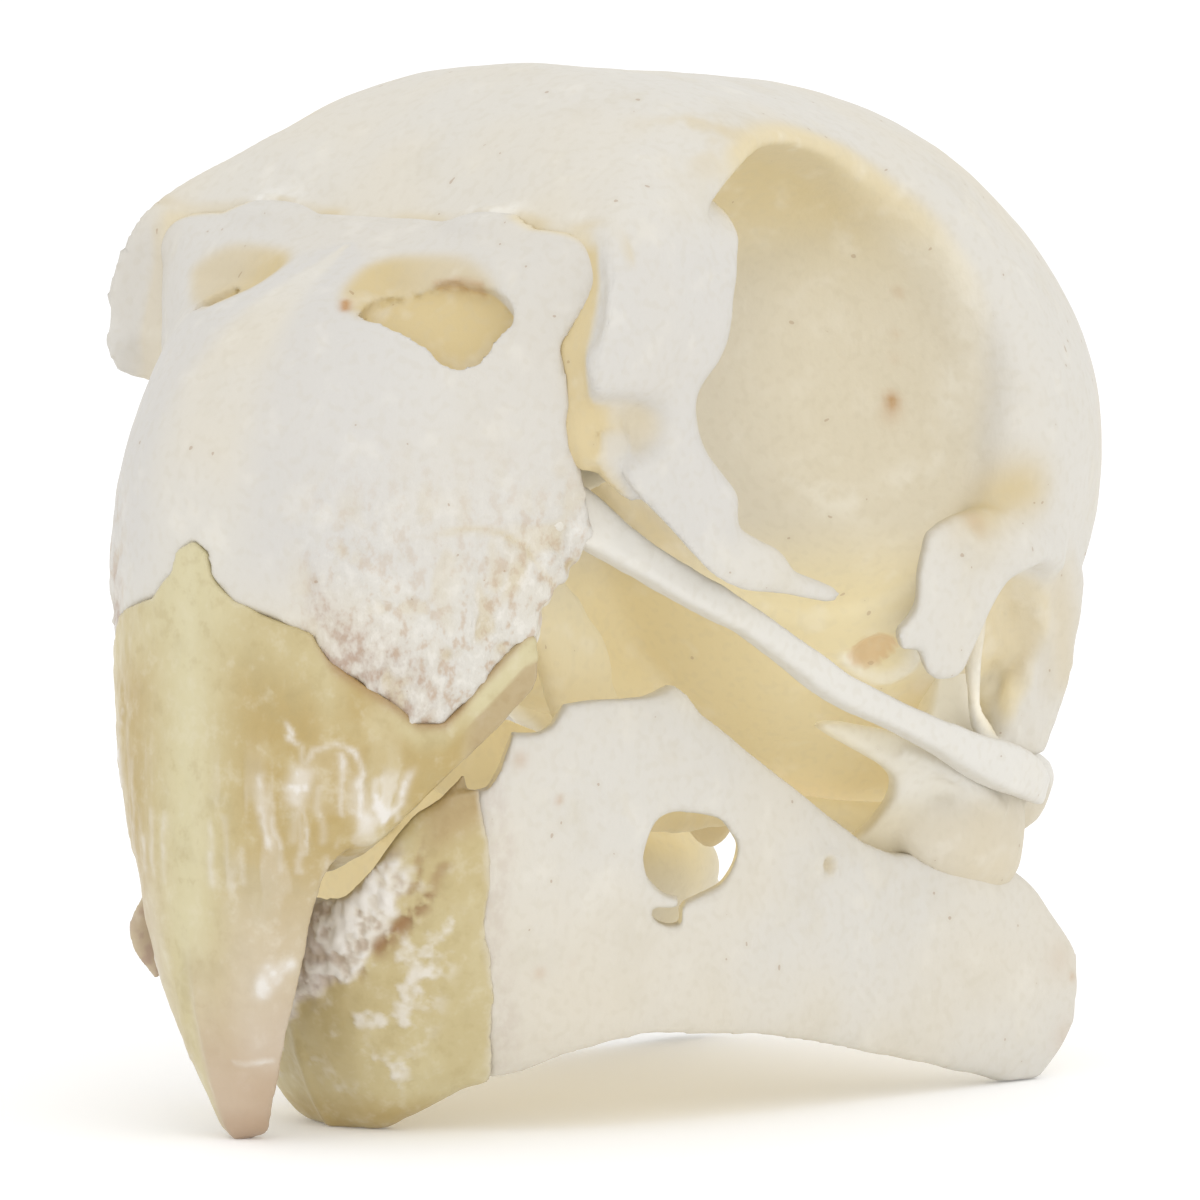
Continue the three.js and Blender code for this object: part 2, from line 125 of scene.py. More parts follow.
LACRIMAL_OUT = np.array([
    [12.5, 8.9], [13.5, 8.75], [15, 8.5], [16.3, 8.4], [17.5, 8.4], [18.5, 8.5], [19.3, 8.68], [20.3, 8.87],
    [21.2, 8.76], [22, 8.37], [22.6, 7.95], [23.2, 7.45], [24, 6.8], [24.6, 6.3],
])
TAB = np.array([
    [-0.21, 17.54], [0.5, 17.54], [0.62, 17.2], [0.74, 16.6], [1.04, 16], [0.8, 15.83], [0.26, 16.17],
    [-0.21, 16.57], [-0.33, 17.25],
])
POSTORBITAL = np.array([
    [10.4, 14.6], [10.08, 14.18], [9.85, 13.57], [9.78, 12.74], [9.4, 12.3], [9.15, 12.15], [9.4, 11.72],
    [9.95, 11.75], [10.15, 11.35], [10.38, 11.04], [10.87, 10.91], [11.35, 10.97],
    [11.58, 11.17], [11.83, 11.56], [12.29, 12.27], [12.75, 12.97], [13.13, 13.48], [14.2, 14.2], [12.5, 15],
])
POSTORBITAL_OUT = np.array([[10.5, 8.9], [13, 8.98], [15, 8.9]])
EAR_PLATE = np.array([
    [14, 14.4], [15.7, 14.3], [17, 13.2], [17.2, 12.19], [17.2, 11.02], [16.85, 10.08], [16.55, 9.14],
    [16.35, 8.57], [15.4, 8.5], [14.58, 8.95], [14.81, 9.78], [15.2, 10.61], [15.6, 11.43], [15.2, 12.6],
    [14.3, 13.4],
])
EAR_PLATE_OUT = np.array([[8.5, 7.45], [10, 7.6], [12, 7.8], [14.4, 8.1]])
QUADRATE = np.array([
    [9.45, 9.58], [9.7, 9.7], [10.9, 9.47], [11.7, 9.35], [12.5, 9.7], [12.75, 10.5], [12.8, 11.6],
    [13.3, 12.2], [13.9, 11.8], [14, 10.6], [14.3, 9.6], [15.2, 8.9], [16.6, 8.5],
    [17.35, 7.9], [17.5, 7.35], [17.5, 6.83], [17.2, 6.48], [16.4, 6.15], [15.73, 5.96], [15.4, 5.2],
    [13, 5.2], [10.6, 5.4], [10.7, 6.3], [11.23, 6.79], [11.46, 7.19], [11.64, 7.71], [11.45, 8.25],
    [10.69, 8.83], [9.63, 9.4],
])
FORAMEN_RIM = np.array([
    [6.05, 10.35, 11.2, 0.14, 0.14], [6.1, 10.73, 10.9, 0.17, 0.17], [6.2, 11.2, 10.7, 0.18, 0.18],
    [6.4, 11.55, 10.72, 0.18, 0.18], [6.75, 11.8, 10.95, 0.17, 0.17], [7.15, 11.75, 11.4, 0.15, 0.15],
])
JAW_WINDOW = np.array([
    [2.92, 6.86], [2.99, 6.36], [3.13, 6.15], [3.62, 5.8], [4.1, 5.66], [4, 5.46], [3.24, 5.5], [3.27, 5.25],
    [3.55, 5.08], [3.97, 5], [4.25, 5.09], [4.2, 5.34], [4.35, 5.5], [4.6, 5.58], [5.24, 5.75], [5.67, 5.94],
    [6.02, 6.31], [6.2, 6.75], [6.13, 7.01], [5.66, 7.51], [5.24, 7.67], [4.32, 7.81], [3.83, 7.83],
    [3.3, 7.62],
])
# Nostril: the point that its loops are measured from, its outward direction and its run,
# then loops along and up the surface
NARIS = np.array([3.88, -2.09, 20.23])
NARIS_OUT = np.array([0.468, -0.699, 0.541])
NARIS_RUN = np.array([0.826, 0.563, 0.012])
NARIS_HOLE = np.array([
    [-1.71, -0.15], [-0.74, -0.61], [0.1, -1.07], [0.42, -1.39], [0.93, -1.51], [1.39, -1.29], [1.79, -0.65],
    [2.15, -0.3], [2.01, 0.1], [1.66, 0.45], [0.94, 0.8], [0.32, 1.06], [-0.09, 0.88], [-0.85, 0.79],
    [-1.46, 0.63], [-1.7, 0.08],
])
NARIS_SHELF = np.array([
    [-1.75, -0.2], [-0.7, -0.3], [0.6, -0.3], [1.75, 0.3], [1.53, 0.95], [0.65, 1.74], [-0.72, 2.11],
    [-1.47, 2.16], [-2.13, 1.82], [-2.44, 0.74],
])

# Back margin of the bill's side: height, y
BILL_BACK = np.array([
    [12, -1.3], [12.4, -1.2], [13.2, -1.1], [13.5, -0.75], [13.9, -0.25], [14.5, 0.1], [15.1, 0.2],
    [15.5, 0.1], [16, 0], [16.7, -0.22], [17.2, -0.42], [17.7, -0.52], [18.2, -0.5],
    [18.7, -0.55], [19.6, -0.68], [20.3, -0.4], [21.4, 0.1], [22, 0.25],
])
# Crest of the lower jaw: y, height
JAW_CREST = np.array([
    [-3, 11.9], [-2.4, 8.7], [-1.7, 8.75], [-1.5, 8.95], [-1.26, 9.25], [-0.92, 10.09],
    [-0.02, 10.05], [0.42, 10.21], [0.9, 10.7], [2.26, 10.74], [3.58, 10.7], [4.04, 10.78],
    [4.45, 10.93], [4.8, 10.7], [5.1, 10.28], [5.77, 9.84],
    [7.57, 8.65], [9.07, 7.7], [10.59, 6.63], [11.81, 6.2], [13.66, 6.1], [15.21, 5.86], [16.14, 5.42],
    [17.24, 4.75], [18.6, 3.4],
])

# Culmen y, z; cutting edge x, y, z; depth of the palate; squareness
BILL = np.array([
    [-0.3, 22.25, 7.8, 0.1, 15.6, 0.4, 0.16], [-2.2, 21.3, 7.1, 0.3, 13.7, 1.2, 0.62],
    [-4.45, 19.8, 6.6, -0.4, 12.2, 1.6, 0.82], [-6.1, 17.4, 5.95, -1.6, 10.7, 1.8, 0.9],
    [-6.4, 14.4, 5, -3, 9.1, 1.8, 0.92], [-6.45, 11.2, 4.15, -4.2, 7.8, 1.5, 0.92],
    [-6.5, 9.4, 3.6, -4.75, 7.55, 1.2, 0.92], [-6.5, 7.8, 2.95, -5.1, 6.5, 0.8, 0.92],
    [-6.4, 5, 2.2, -5.1, 4.2, 0.5, 0.9],
    [-5.85, 2.3, 1.3, -4.9, 1.9, 0.25, 0.92], [-4.95, -0.1, 0.35, -4.45, -0.1, 0.05, 1],
])
# Upper edge x, y, z; lower edge x, y, z; thickness: from the chin to the back of the left side
JAW = np.array([
    [0.01, -4.2, 5.6, 0.01, -2.1, -0.1, 1.7], [2.3, -3.9, 6, 1.6, -1.85, 0.1, 1.6],
    [4.1, -3.2, 7.95, 3.2, -1, 0.95, 1.3], [5, -2.3, 8.8, 4.5, 0.3, 1.5, 1.1],
    [5.6, -1, 10.6, 5.4, 1.5, 2, 1], [6, 1.6, 11.3, 6.1, 3.4, 2.3, 0.95],
    [6.1, 4.4, 11.5, 6.5, 5.6, 2.2, 0.95], [6.3, 7.3, 9.5, 6.7, 8.3, 1.85, 0.95],
    [6.5, 10.8, 7.2, 6.8, 11.6, 1.1, 1.1], [6.6, 14.2, 6.3, 6.8, 15, 0.35, 1.5],
    [6.6, 16.6, 5.5, 6.7, 17.1, -0.1, 1.5], [6.6, 18.4, 3.4, 6.6, 18.3, 1.2, 1],
])
# Where the upper horn ends: angle round the bill from its front, height
UPPER_HORN = np.array([
    [0, 14.75], [5, 14.55], [7, 14], [15, 13.4], [27, 13.05], [36, 12.7], [41, 12], [47, 11.55],
    [55, 11.05], [62, 10.5], [69, 10.5], [73, 10.9], [77, 11.45], [82, 12], [87, 12.6], [100, 13.2],
])
# Where the lower horn ends: height, y
LOWER_HORN = np.array([[-1, 1.05], [2.5, -0.3], [5, -0.95], [7.5, -1.2], [8.5, -1.5], [12, -1.5]])

# Hollows and swellings: middle, then reach to the left, back and up
ORBIT = ((7.8, 7.4, 18.1), (7.0, 5.9, 6.2))
LACRIMAL_CORE = ((7.1, 1.9, 17.5), (0.85, 1.6, 1.5))
LACRIMAL_FOLD = ((9.0, -0.2, 17.6), (1.45, 2.2, 0.95))
LACRIMAL_FILL = ((7.5, 0.25, 17.85), (0.45, 0.55, 0.55))
LACRIMAL_KNOB = ((8.42, -0.78, 19.35), (0.32, 0.34, 0.3))
TEMPLE_HOLLOW = ((9.75, 12.9, 15.3), (1.0, 1.7, 0.8))
EAR_HOLLOW = ((8.9, 14.4, 11.2), (1.9, 1.5, 2.3))
SPINE_OPENING = ((0, 20.3, 10.6), (1.9, 2.6, 1.9))
SPINE_KNOB = ((0, 19.4, 8.9), (0.9, 0.9, 0.8))
SKULL_BASE = ((0, 14.8, 9.6), (5, 3.9, 3.5))
ROSTRUM_KNOB = ((0, 11.6, 7.35), (0.75, 0.75, 1.45))
HINGE_WELT = ((3.9, 0.1, 22.3), (1.2, 0.6, 0.4))
JAW_PROCESS = ((5.3, 14.5, 4.7), (1.2, 2.5, 1.2))

LEFT = np.array([1.0, 0.0, 0.0])
BACK = np.array([0.0, 1.0, 0.0])
UP = np.array([0.0, 0.0, 1.0])


def colour(red, green, blue):
    """Scene colour of a red, green and blue given as on a screen, 0 to 255."""
    share = np.array([red, green, blue]) / 255
    bent = np.where(share < 0.04045, share / 12.92, ((share + 0.055) / 1.055) ** 2.4)
    return tuple(float(v) for v in bent)


class SkullSizes(bpy.types.PropertyGroup):
    """Sizes that set how the bones are cut, joined and weathered."""

    cranium_cell: FloatProperty(
        name="Cranium grain", description="Edge of the cells that the cranium is worked out on",
        default=0.165 * MM, unit="LENGTH")
    bill_cell: FloatProperty(
        name="Bill grain", description="Edge of the cells that the bill is worked out on",
        default=0.11 * MM, unit="LENGTH")
    jaw_cell: FloatProperty(
        name="Jaw grain", description="Edge of the cells that the lower jaw is worked out on",
        default=0.12 * MM, unit="LENGTH")
    horn_cell: FloatProperty(
        name="Horn grain", description="Edge of the cells that the horn is worked out on",
        default=0.08 * MM, unit="LENGTH")
    small_cell: FloatProperty(
        name="Small bone grain", description="Edge of the cells that the thin bones are worked out on",
        default=0.09 * MM, unit="LENGTH")
    horn_step: FloatProperty(
        name="Horn step", description="How far the horn stands out from the bone under it",
        default=0.12 * MM, unit="LENGTH")
    pore_depth: FloatProperty(
        name="Pore depth", description="Depth of the pores in the cheek of the bill",
        default=0.1 * MM, unit="LENGTH")
    flake_depth: FloatProperty(
        name="Flake depth", description="Height of the flakes on the lower horn",
        default=0.11 * MM, unit="LENGTH")
    # Hollows up to this width get painted bounced light: an ochre colour and a glow.
    hollow_glow_reach: FloatProperty(
        name="Hollow glow reach", description="Width of hollow that counts as inside when the bone is stained",
        default=6.0 * MM, unit="LENGTH")


class SkullColours(bpy.types.PropertyGroup):
    """Colours of the bone, its stains and the horn."""

    bone: FloatVectorProperty(
        name="Bone", description="Clean outer bone", subtype="COLOR", size=3, min=0, max=1,
        default=colour(212, 208, 199))
    # Hollow and ochre are the colours of painted bounced light in the hollows: paler in the middle of the
    # orbits, darker and more ochre at their top.
    hollow: FloatVectorProperty(
        name="Hollow bone", description="Thin bone in the middle of the orbits", subtype="COLOR", size=3,
        min=0, max=1, default=colour(217, 210, 193))
    ochre: FloatVectorProperty(
        name="Ochre top of hollows", description="Bone at the top of the orbits, stained by fat", subtype="COLOR",
        size=3, min=0, max=1, default=colour(208, 194, 156))
    horn: FloatVectorProperty(
        name="Horn", description="Clear horn over the bill", subtype="COLOR", size=3, min=0, max=1,
        default=colour(206, 197, 158))
    floor: FloatVectorProperty(
        name="Floor", description="Paper that the skull stands on", subtype="COLOR", size=3, min=0, max=1,
        default=(0.95, 0.95, 0.95))


# Surfaces on a grid of two parameters


def powered(value, power):
    """Value raised to a power with its sign kept, which squares or pinches a round section."""
    return np.sign(value) * np.abs(value) ** power


def along(rows, share):
    """Rows read at shares from 0 to 1 on a smooth curve through them that starts and ends level."""
    count = len(rows) - 1
    place = np.clip(share, 0, 1) * count
    start = np.minimum(place.astype(int), count - 1)
    part = (place - start)[..., None]
    padded = np.concatenate([rows[1:2], rows, rows[-2:-1]])
    a, b, c, d = (padded[start + k] for k in range(4))
    return b + part / 2 * (c - a + part * (2 * a - 5 * b + 4 * c - d + part * (3 * (b - c) + d - a)))


def grid_of(steps, sides):
    """Shares along a loft and angles round it, as two arrays of steps + 1 by sides."""
    return np.meshgrid(np.linspace(0, 1, steps + 1), np.arange(sides) * 2 * np.pi / sides, indexing="ij")


def skin(points):
    """Closed mesh over rings of points: faces between neighbouring rings, and a fan on each end ring."""
    steps, sides = points.shape[:2]
    ring, turn = np.meshgrid(np.arange(steps - 1), np.arange(sides), indexing="ij")
    after = (turn + 1) % sides
    quads = np.stack([ring * sides + turn, ring * sides + after, (ring + 1) * sides + after,
                      (ring + 1) * sides + turn], -1).reshape(-1, 4)
    pole = steps * sides
    turn = np.arange(sides)
    after = (turn + 1) % sides
    last = pole - sides
    fans = np.concatenate([
        np.stack([np.full(sides, pole), after, turn], -1),
        np.stack([np.full(sides, pole + 1), last + turn, last + after], -1)])
    every = np.concatenate([points.reshape(-1, 3), points[0].mean(0)[None], points[-1].mean(0)[None]])
    return every.astype(np.float32), fans.astype(np.uint32), quads.astype(np.uint32)


def cranium_surface(steps=150, sides=200):
    """Rings across y: half width times the cosine, height over the waist times the sine, both powered."""
    share, angle = grid_of(steps, sides)
    y, wide, top, waist, low, box = np.moveaxis(along(CRANIUM, share), -1, 0)
    up = np.sin(angle)
    z = waist + np.where(up > 0, top - waist, waist - low) * powered(up, box)
    return skin(np.stack([wide * powered(np.cos(angle), box), y, z], -1))


def blade_surface(rows, side=LEFT, box=0.85, steps=60, sides=40):
    """Powered ellipse carried along a path: its breadth is square to the path and to side."""
    share, angle = grid_of(steps, sides)
    read = along(rows, share)
    middle = read[..., :3]
    ahead = np.gradient(middle, axis=0)
    ahead /= np.linalg.norm(ahead, axis=-1, keepdims=True)
    across = np.cross(ahead, side)
    across /= np.linalg.norm(across, axis=-1, keepdims=True)
    out = np.cross(across, ahead)
    broad = (read[..., 3] * powered(np.cos(angle), box))[..., None]
    thick = (read[..., 4] * powered(np.sin(angle), box))[..., None]
    return skin(middle + across * broad + out * thick)


def bill_surface(steps=160, sides=160):
    """Rings down the bill: from the cutting edge a powered arch to the culmen, and a bow to the palate."""
    share, angle = grid_of(steps, sides)
    ridge_y, ridge_z, edge_x, edge_y, edge_z, palate, box = np.moveaxis(along(BILL, share), -1, 0)
    rise_y, rise_z = ridge_y - edge_y, ridge_z - edge_z
    tall = np.hypot(rise_y, rise_z)
    lift = np.cos(angle)
    upper = lift > 0
    part = np.where(upper, powered(lift, box), -palate / tall * lift ** 2)
    x = edge_x * powered(np.sin(angle), np.where(upper, box, 1))
    return skin(np.stack([x, edge_y + rise_y * part, edge_z + rise_z * part], -1))


def jaw_surface(steps=180, sides=64):
    """Flat powered ellipses between the upper and lower edge of one side of the jaw, from chin to back."""
    share, angle = grid_of(steps, sides)
    read = along(JAW, share)
    top, low, thick = read[..., :3], read[..., 3:6], read[..., 6]
    ahead = np.gradient((top + low)[..., :2], axis=0)
    ahead /= np.linalg.norm(ahead, axis=-1, keepdims=True)
    up = ((powered(np.cos(angle), 0.8) + 1) / 2)[..., None]
    out = thick / 2 * (powered(np.sin(angle), 0.8) - 1)
    shift = np.stack([ahead[..., 1] * out, -ahead[..., 0] * out, np.zeros_like(out)], -1)
    return skin(low + (top - low) * up + shift)


def mirrored(mesh):
    """The same mesh on the bird's other side, its faces turned so that they still point outwards."""
    points, fans, quads = mesh
    return points * np.float32([-1, 1, 1]), fans[:, ::-1].copy(), quads[:, ::-1].copy()


# Distances on a block of cells, for bones that are fused or pierced


def join(first, second, soft):
    """Nearer of two distances, with a fillet as wide as soft where they meet."""
    near = np.clip(soft - np.abs(first - second), 0, None)
    return np.minimum(first, second) - near * near / (4 * soft)


def keep(first, second, soft):
    """Farther of two distances, so what lies in both stays, with a rounded edge as wide as soft."""
    return -join(-first, -second, soft)


def rounded(loop, times=4):
    """Closed loop with more points on a smooth curve through the given ones."""
    place = np.arange(len(loop) * times) / times
    start = place.astype(int)
    part = (place - start)[:, None]
    a, b, c, d = (loop[(start + k - 1) % len(loop)] for k in range(4))
    return b + part / 2 * (c - a + part * (2 * a - 5 * b + 4 * c - d + part * (3 * (b - c) + d - a)))


def loop_distance(first, second, loop):
    """Distance to a closed loop in a plane, below zero inside it: nearest edge, signed by crossings."""
    nearest = np.full(np.broadcast(first, second).shape, 1e9, np.float32)
    inside = np.zeros(nearest.shape, bool)
    for start, end in zip(loop, np.roll(loop, -1, 0)):
        edge = end - start
        gap_a, gap_b = first - start[0], second - start[1]
        part = np.clip((gap_a * edge[0] + gap_b * edge[1]) / (edge @ edge), 0, 1)
        nearest = np.minimum(nearest, (gap_a - part * edge[0]) ** 2 + (gap_b - part * edge[1]) ** 2)
        spans = (start[1] > second) != (end[1] > second)
        if edge[1]:
            inside ^= spans & (gap_a < gap_b * edge[0] / edge[1])
    return np.where(inside, -1, 1) * np.sqrt(nearest)


class Block:
    """Box of cells that holds distances to a surface, below zero inside it."""

    def __init__(self, low, high, cell):
        self.cell = cell
        self.start = np.floor(np.array(low) / cell).astype(int)
        self.count = np.ceil(np.array(high) / cell).astype(int) - self.start + 1
        self.marks = [((start + np.arange(count)) * cell).astype(np.float32)
                      for start, count in zip(self.start, self.count)]
        self.x = self.marks[0][:, None, None]
        self.y = self.marks[1][None, :, None]
        self.z = self.marks[2][None, None, :]
        self.scale = openvdb.createLinearTransform(voxelSize=cell)

    def solid(self, mesh, reach=0.8):
        """Distance to a closed mesh, cut off at reach on both sides."""
        points, fans, quads = mesh
        cells = openvdb.FloatGrid.createLevelSetFromPolygons(
            points, triangles=fans, quads=quads, transform=self.scale, halfWidth=max(4.0, reach / self.cell))
        held = np.zeros(self.count, np.float32)
        cells.copyToArray(held, ijk=tuple(int(v) for v in self.start))
        return held

    def both(self, mesh, reach=0.8):
        """Distance to a left bone and its mirror image, whichever is nearer."""
        return np.minimum(self.solid(mesh, reach), self.solid(mirrored(mesh), reach))

    def ball(self, centre, reach, axes=(LEFT, BACK, UP), pair=True):
        """Near distance to an ellipsoid, by its centre and reach along each axis, and to its mirror image."""
        x = np.abs(self.x) if pair else self.x
        gaps = (x - centre[0], self.y - centre[1], self.z - centre[2])
        flat = steep = 0
        for axis, size in zip(axes, reach):
            step = (gaps[0] * axis[0] + gaps[1] * axis[1] + gaps[2] * axis[2]) / size
            flat = flat + step ** 2
            steep = steep + (step / size) ** 2
        flat = np.sqrt(flat)
        return flat * (flat - 1) / np.sqrt(steep + 1e-9)

    def cut(self, loop, deep, lean):
        """Distance to a loop in y and z that moves back by a slope with the depth under an outer face."""
        flat = loop_distance(self.y[0], self.z[0], rounded(loop))
        place = np.broadcast_to((self.y - lean * deep) / self.cell - self.start[1], self.count)
        base = np.clip(place.astype(int), 0, self.count[1] - 2)
        part = place - base
        row = np.arange(self.count[2])
        return flat[base, row] * (1 - part) + flat[base + 1, row] * part

    def plate(self, loop, outer, half, soft=0.35, lean=0.0):
        """Distance to a pair of plates cut to a loop that leans back by a slope, from their outer face in."""
        deep = outer - np.abs(self.x)
        return keep(self.cut(loop, deep, lean), np.abs(deep - half) - half, soft).astype(np.float32)

    def read(self, table):
        """Second column of a table read at the block's heights."""
        return np.interp(self.z, table[:, 0], table[:, 1]).astype(np.float32)

    def noise(self, size, seed):
        """Smooth noise from -1 to 1 with bumps of the given size."""
        weights = []
        for marks in self.marks:
            place = marks / size
            base = np.floor(place).astype(int)
            part = place - base
            part = part * part * part * (part * (part * 6 - 15) + 10)
            base -= base.min()
            table = np.zeros((len(marks), base.max() + 2), np.float32)
            table[np.arange(len(marks)), base] = 1 - part
            table[np.arange(len(marks)), base + 1] = part
            weights.append(table)
        shape = [table.shape[1] for table in weights]
        lattice = np.random.default_rng(seed).uniform(-1, 1, shape).astype(np.float32)
        return np.einsum("xa,yb,zc,abc->xyz", *weights, lattice, optimize=True)

    def surface(self, held):
        """Points and outward faces of the surface where the distance is zero."""
        cells = openvdb.FloatGrid(1.0)
        cells.copyFromArray(np.ascontiguousarray(held, np.float32),
                            ijk=tuple(int(v) for v in self.start), tolerance=0)
        cells.transform = self.scale
        points, quads = cells.convertToQuads(0.0)
        return points.astype(np.float64), quads.astype(np.int64)


def facing(points, quads):
    """Outward direction at each point: the sum of its faces' normals, made one long."""
    corners = points[quads]
    face = np.cross(corners[:, 2] - corners[:, 0], corners[:, 3] - corners[:, 1])
    every = quads.ravel()
    total = np.stack([np.bincount(every, np.repeat(part, 4), len(points)) for part in face.T], -1)
    return total / np.maximum(np.linalg.norm(total, axis=1, keepdims=True), 1e-12)


def relaxed(points, quads, rounds=2):
    """Points drawn to the middle of their neighbours and let back again, which removes the cells' steps."""
    ends = np.concatenate([quads, np.roll(quads, -1, 1)], 0).ravel()
    others = np.concatenate([np.roll(quads, -1, 1), quads], 0).ravel()
    share = np.maximum(np.bincount(ends, minlength=len(points)), 1)
    for pull in (0.55, -0.57) * rounds:
        middle = np.stack([np.bincount(ends, points[others, k], len(points)) for k in range(3)], -1)
        points = points + pull * (middle / share[:, None] - points)
    return points


def noise(points, size, seed):
    """Smooth noise from -1 to 1: random numbers on a lattice of a given pitch, blended by a quintic step."""
    table = np.random.default_rng(seed).uniform(-1, 1, (32, 32, 32))
    place = points / size
    base = np.floor(place).astype(int)
    part = place - base
    part = part ** 3 * (part * (part * 6 - 15) + 10)
    total = np.zeros(len(points))
    for corner in np.ndindex(2, 2, 2):
        weight = np.prod(np.where(corner, part, 1 - part), axis=1)
        spot = (base + corner) % 32
        total += weight * table[spot[:, 0], spot[:, 1], spot[:, 2]]
    return total


def rough(points, size, seed, layers=3):
    """Noise summed over layers, each half the size and half the height of the last."""
    return sum(noise(points, size / 2 ** k, seed + k) / 2 ** k for k in range(layers))


def cells(points, size, seed):
    """Distance to the nearest of points strewn one to a cell, in cells."""
    strewn = np.random.default_rng(seed).uniform(0, 1, (32, 32, 32, 3))
    place = points / size
    base = np.floor(place).astype(int)
    nearest = np.full(len(points), 9.0)
    for corner in np.ndindex(3, 3, 3):
        cell = base + np.array(corner) - 1
        spot = cell % 32
        gap = np.linalg.norm(cell + strewn[spot[:, 0], spot[:, 1], spot[:, 2]] - place, axis=1)
        nearest = np.minimum(nearest, gap)
    return nearest


def step(value, low, high):
    """Smooth step from 0 at low to 1 at high."""
    part = np.clip((value - low) / (high - low), 0, 1)
    return part * part * (3 - 2 * part)


# Materials


class Value:
    """A number carried by a node's socket: an expression of values adds the Math nodes that work it out."""

    def __init__(self, paint, socket):
        self.paint = paint
        self.socket = socket

    def math(self, operation, *others):
        """A Math node's result on this value and others."""
        held = {k: v for k, v in enumerate((self,) + others)}
        return self.paint.node("ShaderNodeMath", {"operation": operation}, held)

    def __add__(self, other):
        return self.math("ADD", other)

    __radd__ = __add__

    def __sub__(self, other):
        return self.math("SUBTRACT", other)

    def __rsub__(self, other):
        return (self * -1).math("ADD", other)

    def __mul__(self, other):
        return self.math("MULTIPLY", other)

    __rmul__ = __mul__

    def clamped(self):
        """The value held between 0 and 1."""
        return self.math("MINIMUM", 1.0).math("MAXIMUM", 0.0)

    def ramp(self, low, high):
        """Smooth step of the value from 0 at low to 1 at high."""
        return self.paint.node("ShaderNodeMapRange", {"interpolation_type": "SMOOTHSTEP"},
                               {"Value": self, "From Min": low, "From Max": high})


class Paint:
    """Node tree of one material, built node by node."""

    def __init__(self, name):
        self.material = bpy.data.materials.new(name)
        self.material.use_nodes = True
        self.tree = self.material.node_tree
        self.tree.nodes.clear()

    def node(self, kind, settings=None, sockets=None, output=0):
        """Adds a node of a kind, sets its settings, then its sockets' values or links; gives an output."""
        made = self.tree.nodes.new(kind)
        for name, value in (settings or {}).items():
            setattr(made, name, value)
        for name, value in (sockets or {}).items():
            if isinstance(value, Value):
                self.tree.links.new(value.socket, made.inputs[name])
            else:
                made.inputs[name].default_value = value
        return Value(self, made.outputs[output]) if made.outputs else None

    def place(self):
        """Object coordinates, in metres."""
        return self.node("ShaderNodeTexCoord", output=3)

    def attribute(self, name):
        """A number stored on the mesh."""
        return self.node("ShaderNodeAttribute", {"attribute_name": name}, output=2)

    def cloud(self, place, size, detail=3.0, rough=0.5, stretch=None):
        """Noise from about 0 to 1 with clouds of the given size in metres."""
        if stretch:
            place = self.node("ShaderNodeVectorMath", {"operation": "MULTIPLY"}, {0: place, 1: stretch})
        return self.node("ShaderNodeTexNoise", None,
                         {"Vector": place, "Scale": 1 / size, "Detail": detail, "Roughness": rough})

    def mix(self, share, first, second):
        """Two colours blended by a share."""
        made = self.tree.nodes.new("ShaderNodeMix")
        made.data_type = "RGBA"
        for socket, value in ((made.inputs[0], share), (made.inputs[6], first), (made.inputs[7], second)):
            if isinstance(value, Value):
                self.tree.links.new(value.socket, socket)
            elif socket.type == "RGBA":
                socket.default_value = (*value[:3], 1)
            else:
                socket.default_value = value
        return Value(self, made.outputs[2])

    def finish(self, sockets):
        """Ends the tree in a Principled shader with the given sockets, and gives the material."""
        shader = self.node("ShaderNodeBsdfPrincipled", None, sockets)
        self.node("ShaderNodeOutputMaterial", None, {"Surface": shader})
        self.material.cycles.emission_sampling = "NONE"
        return self.material


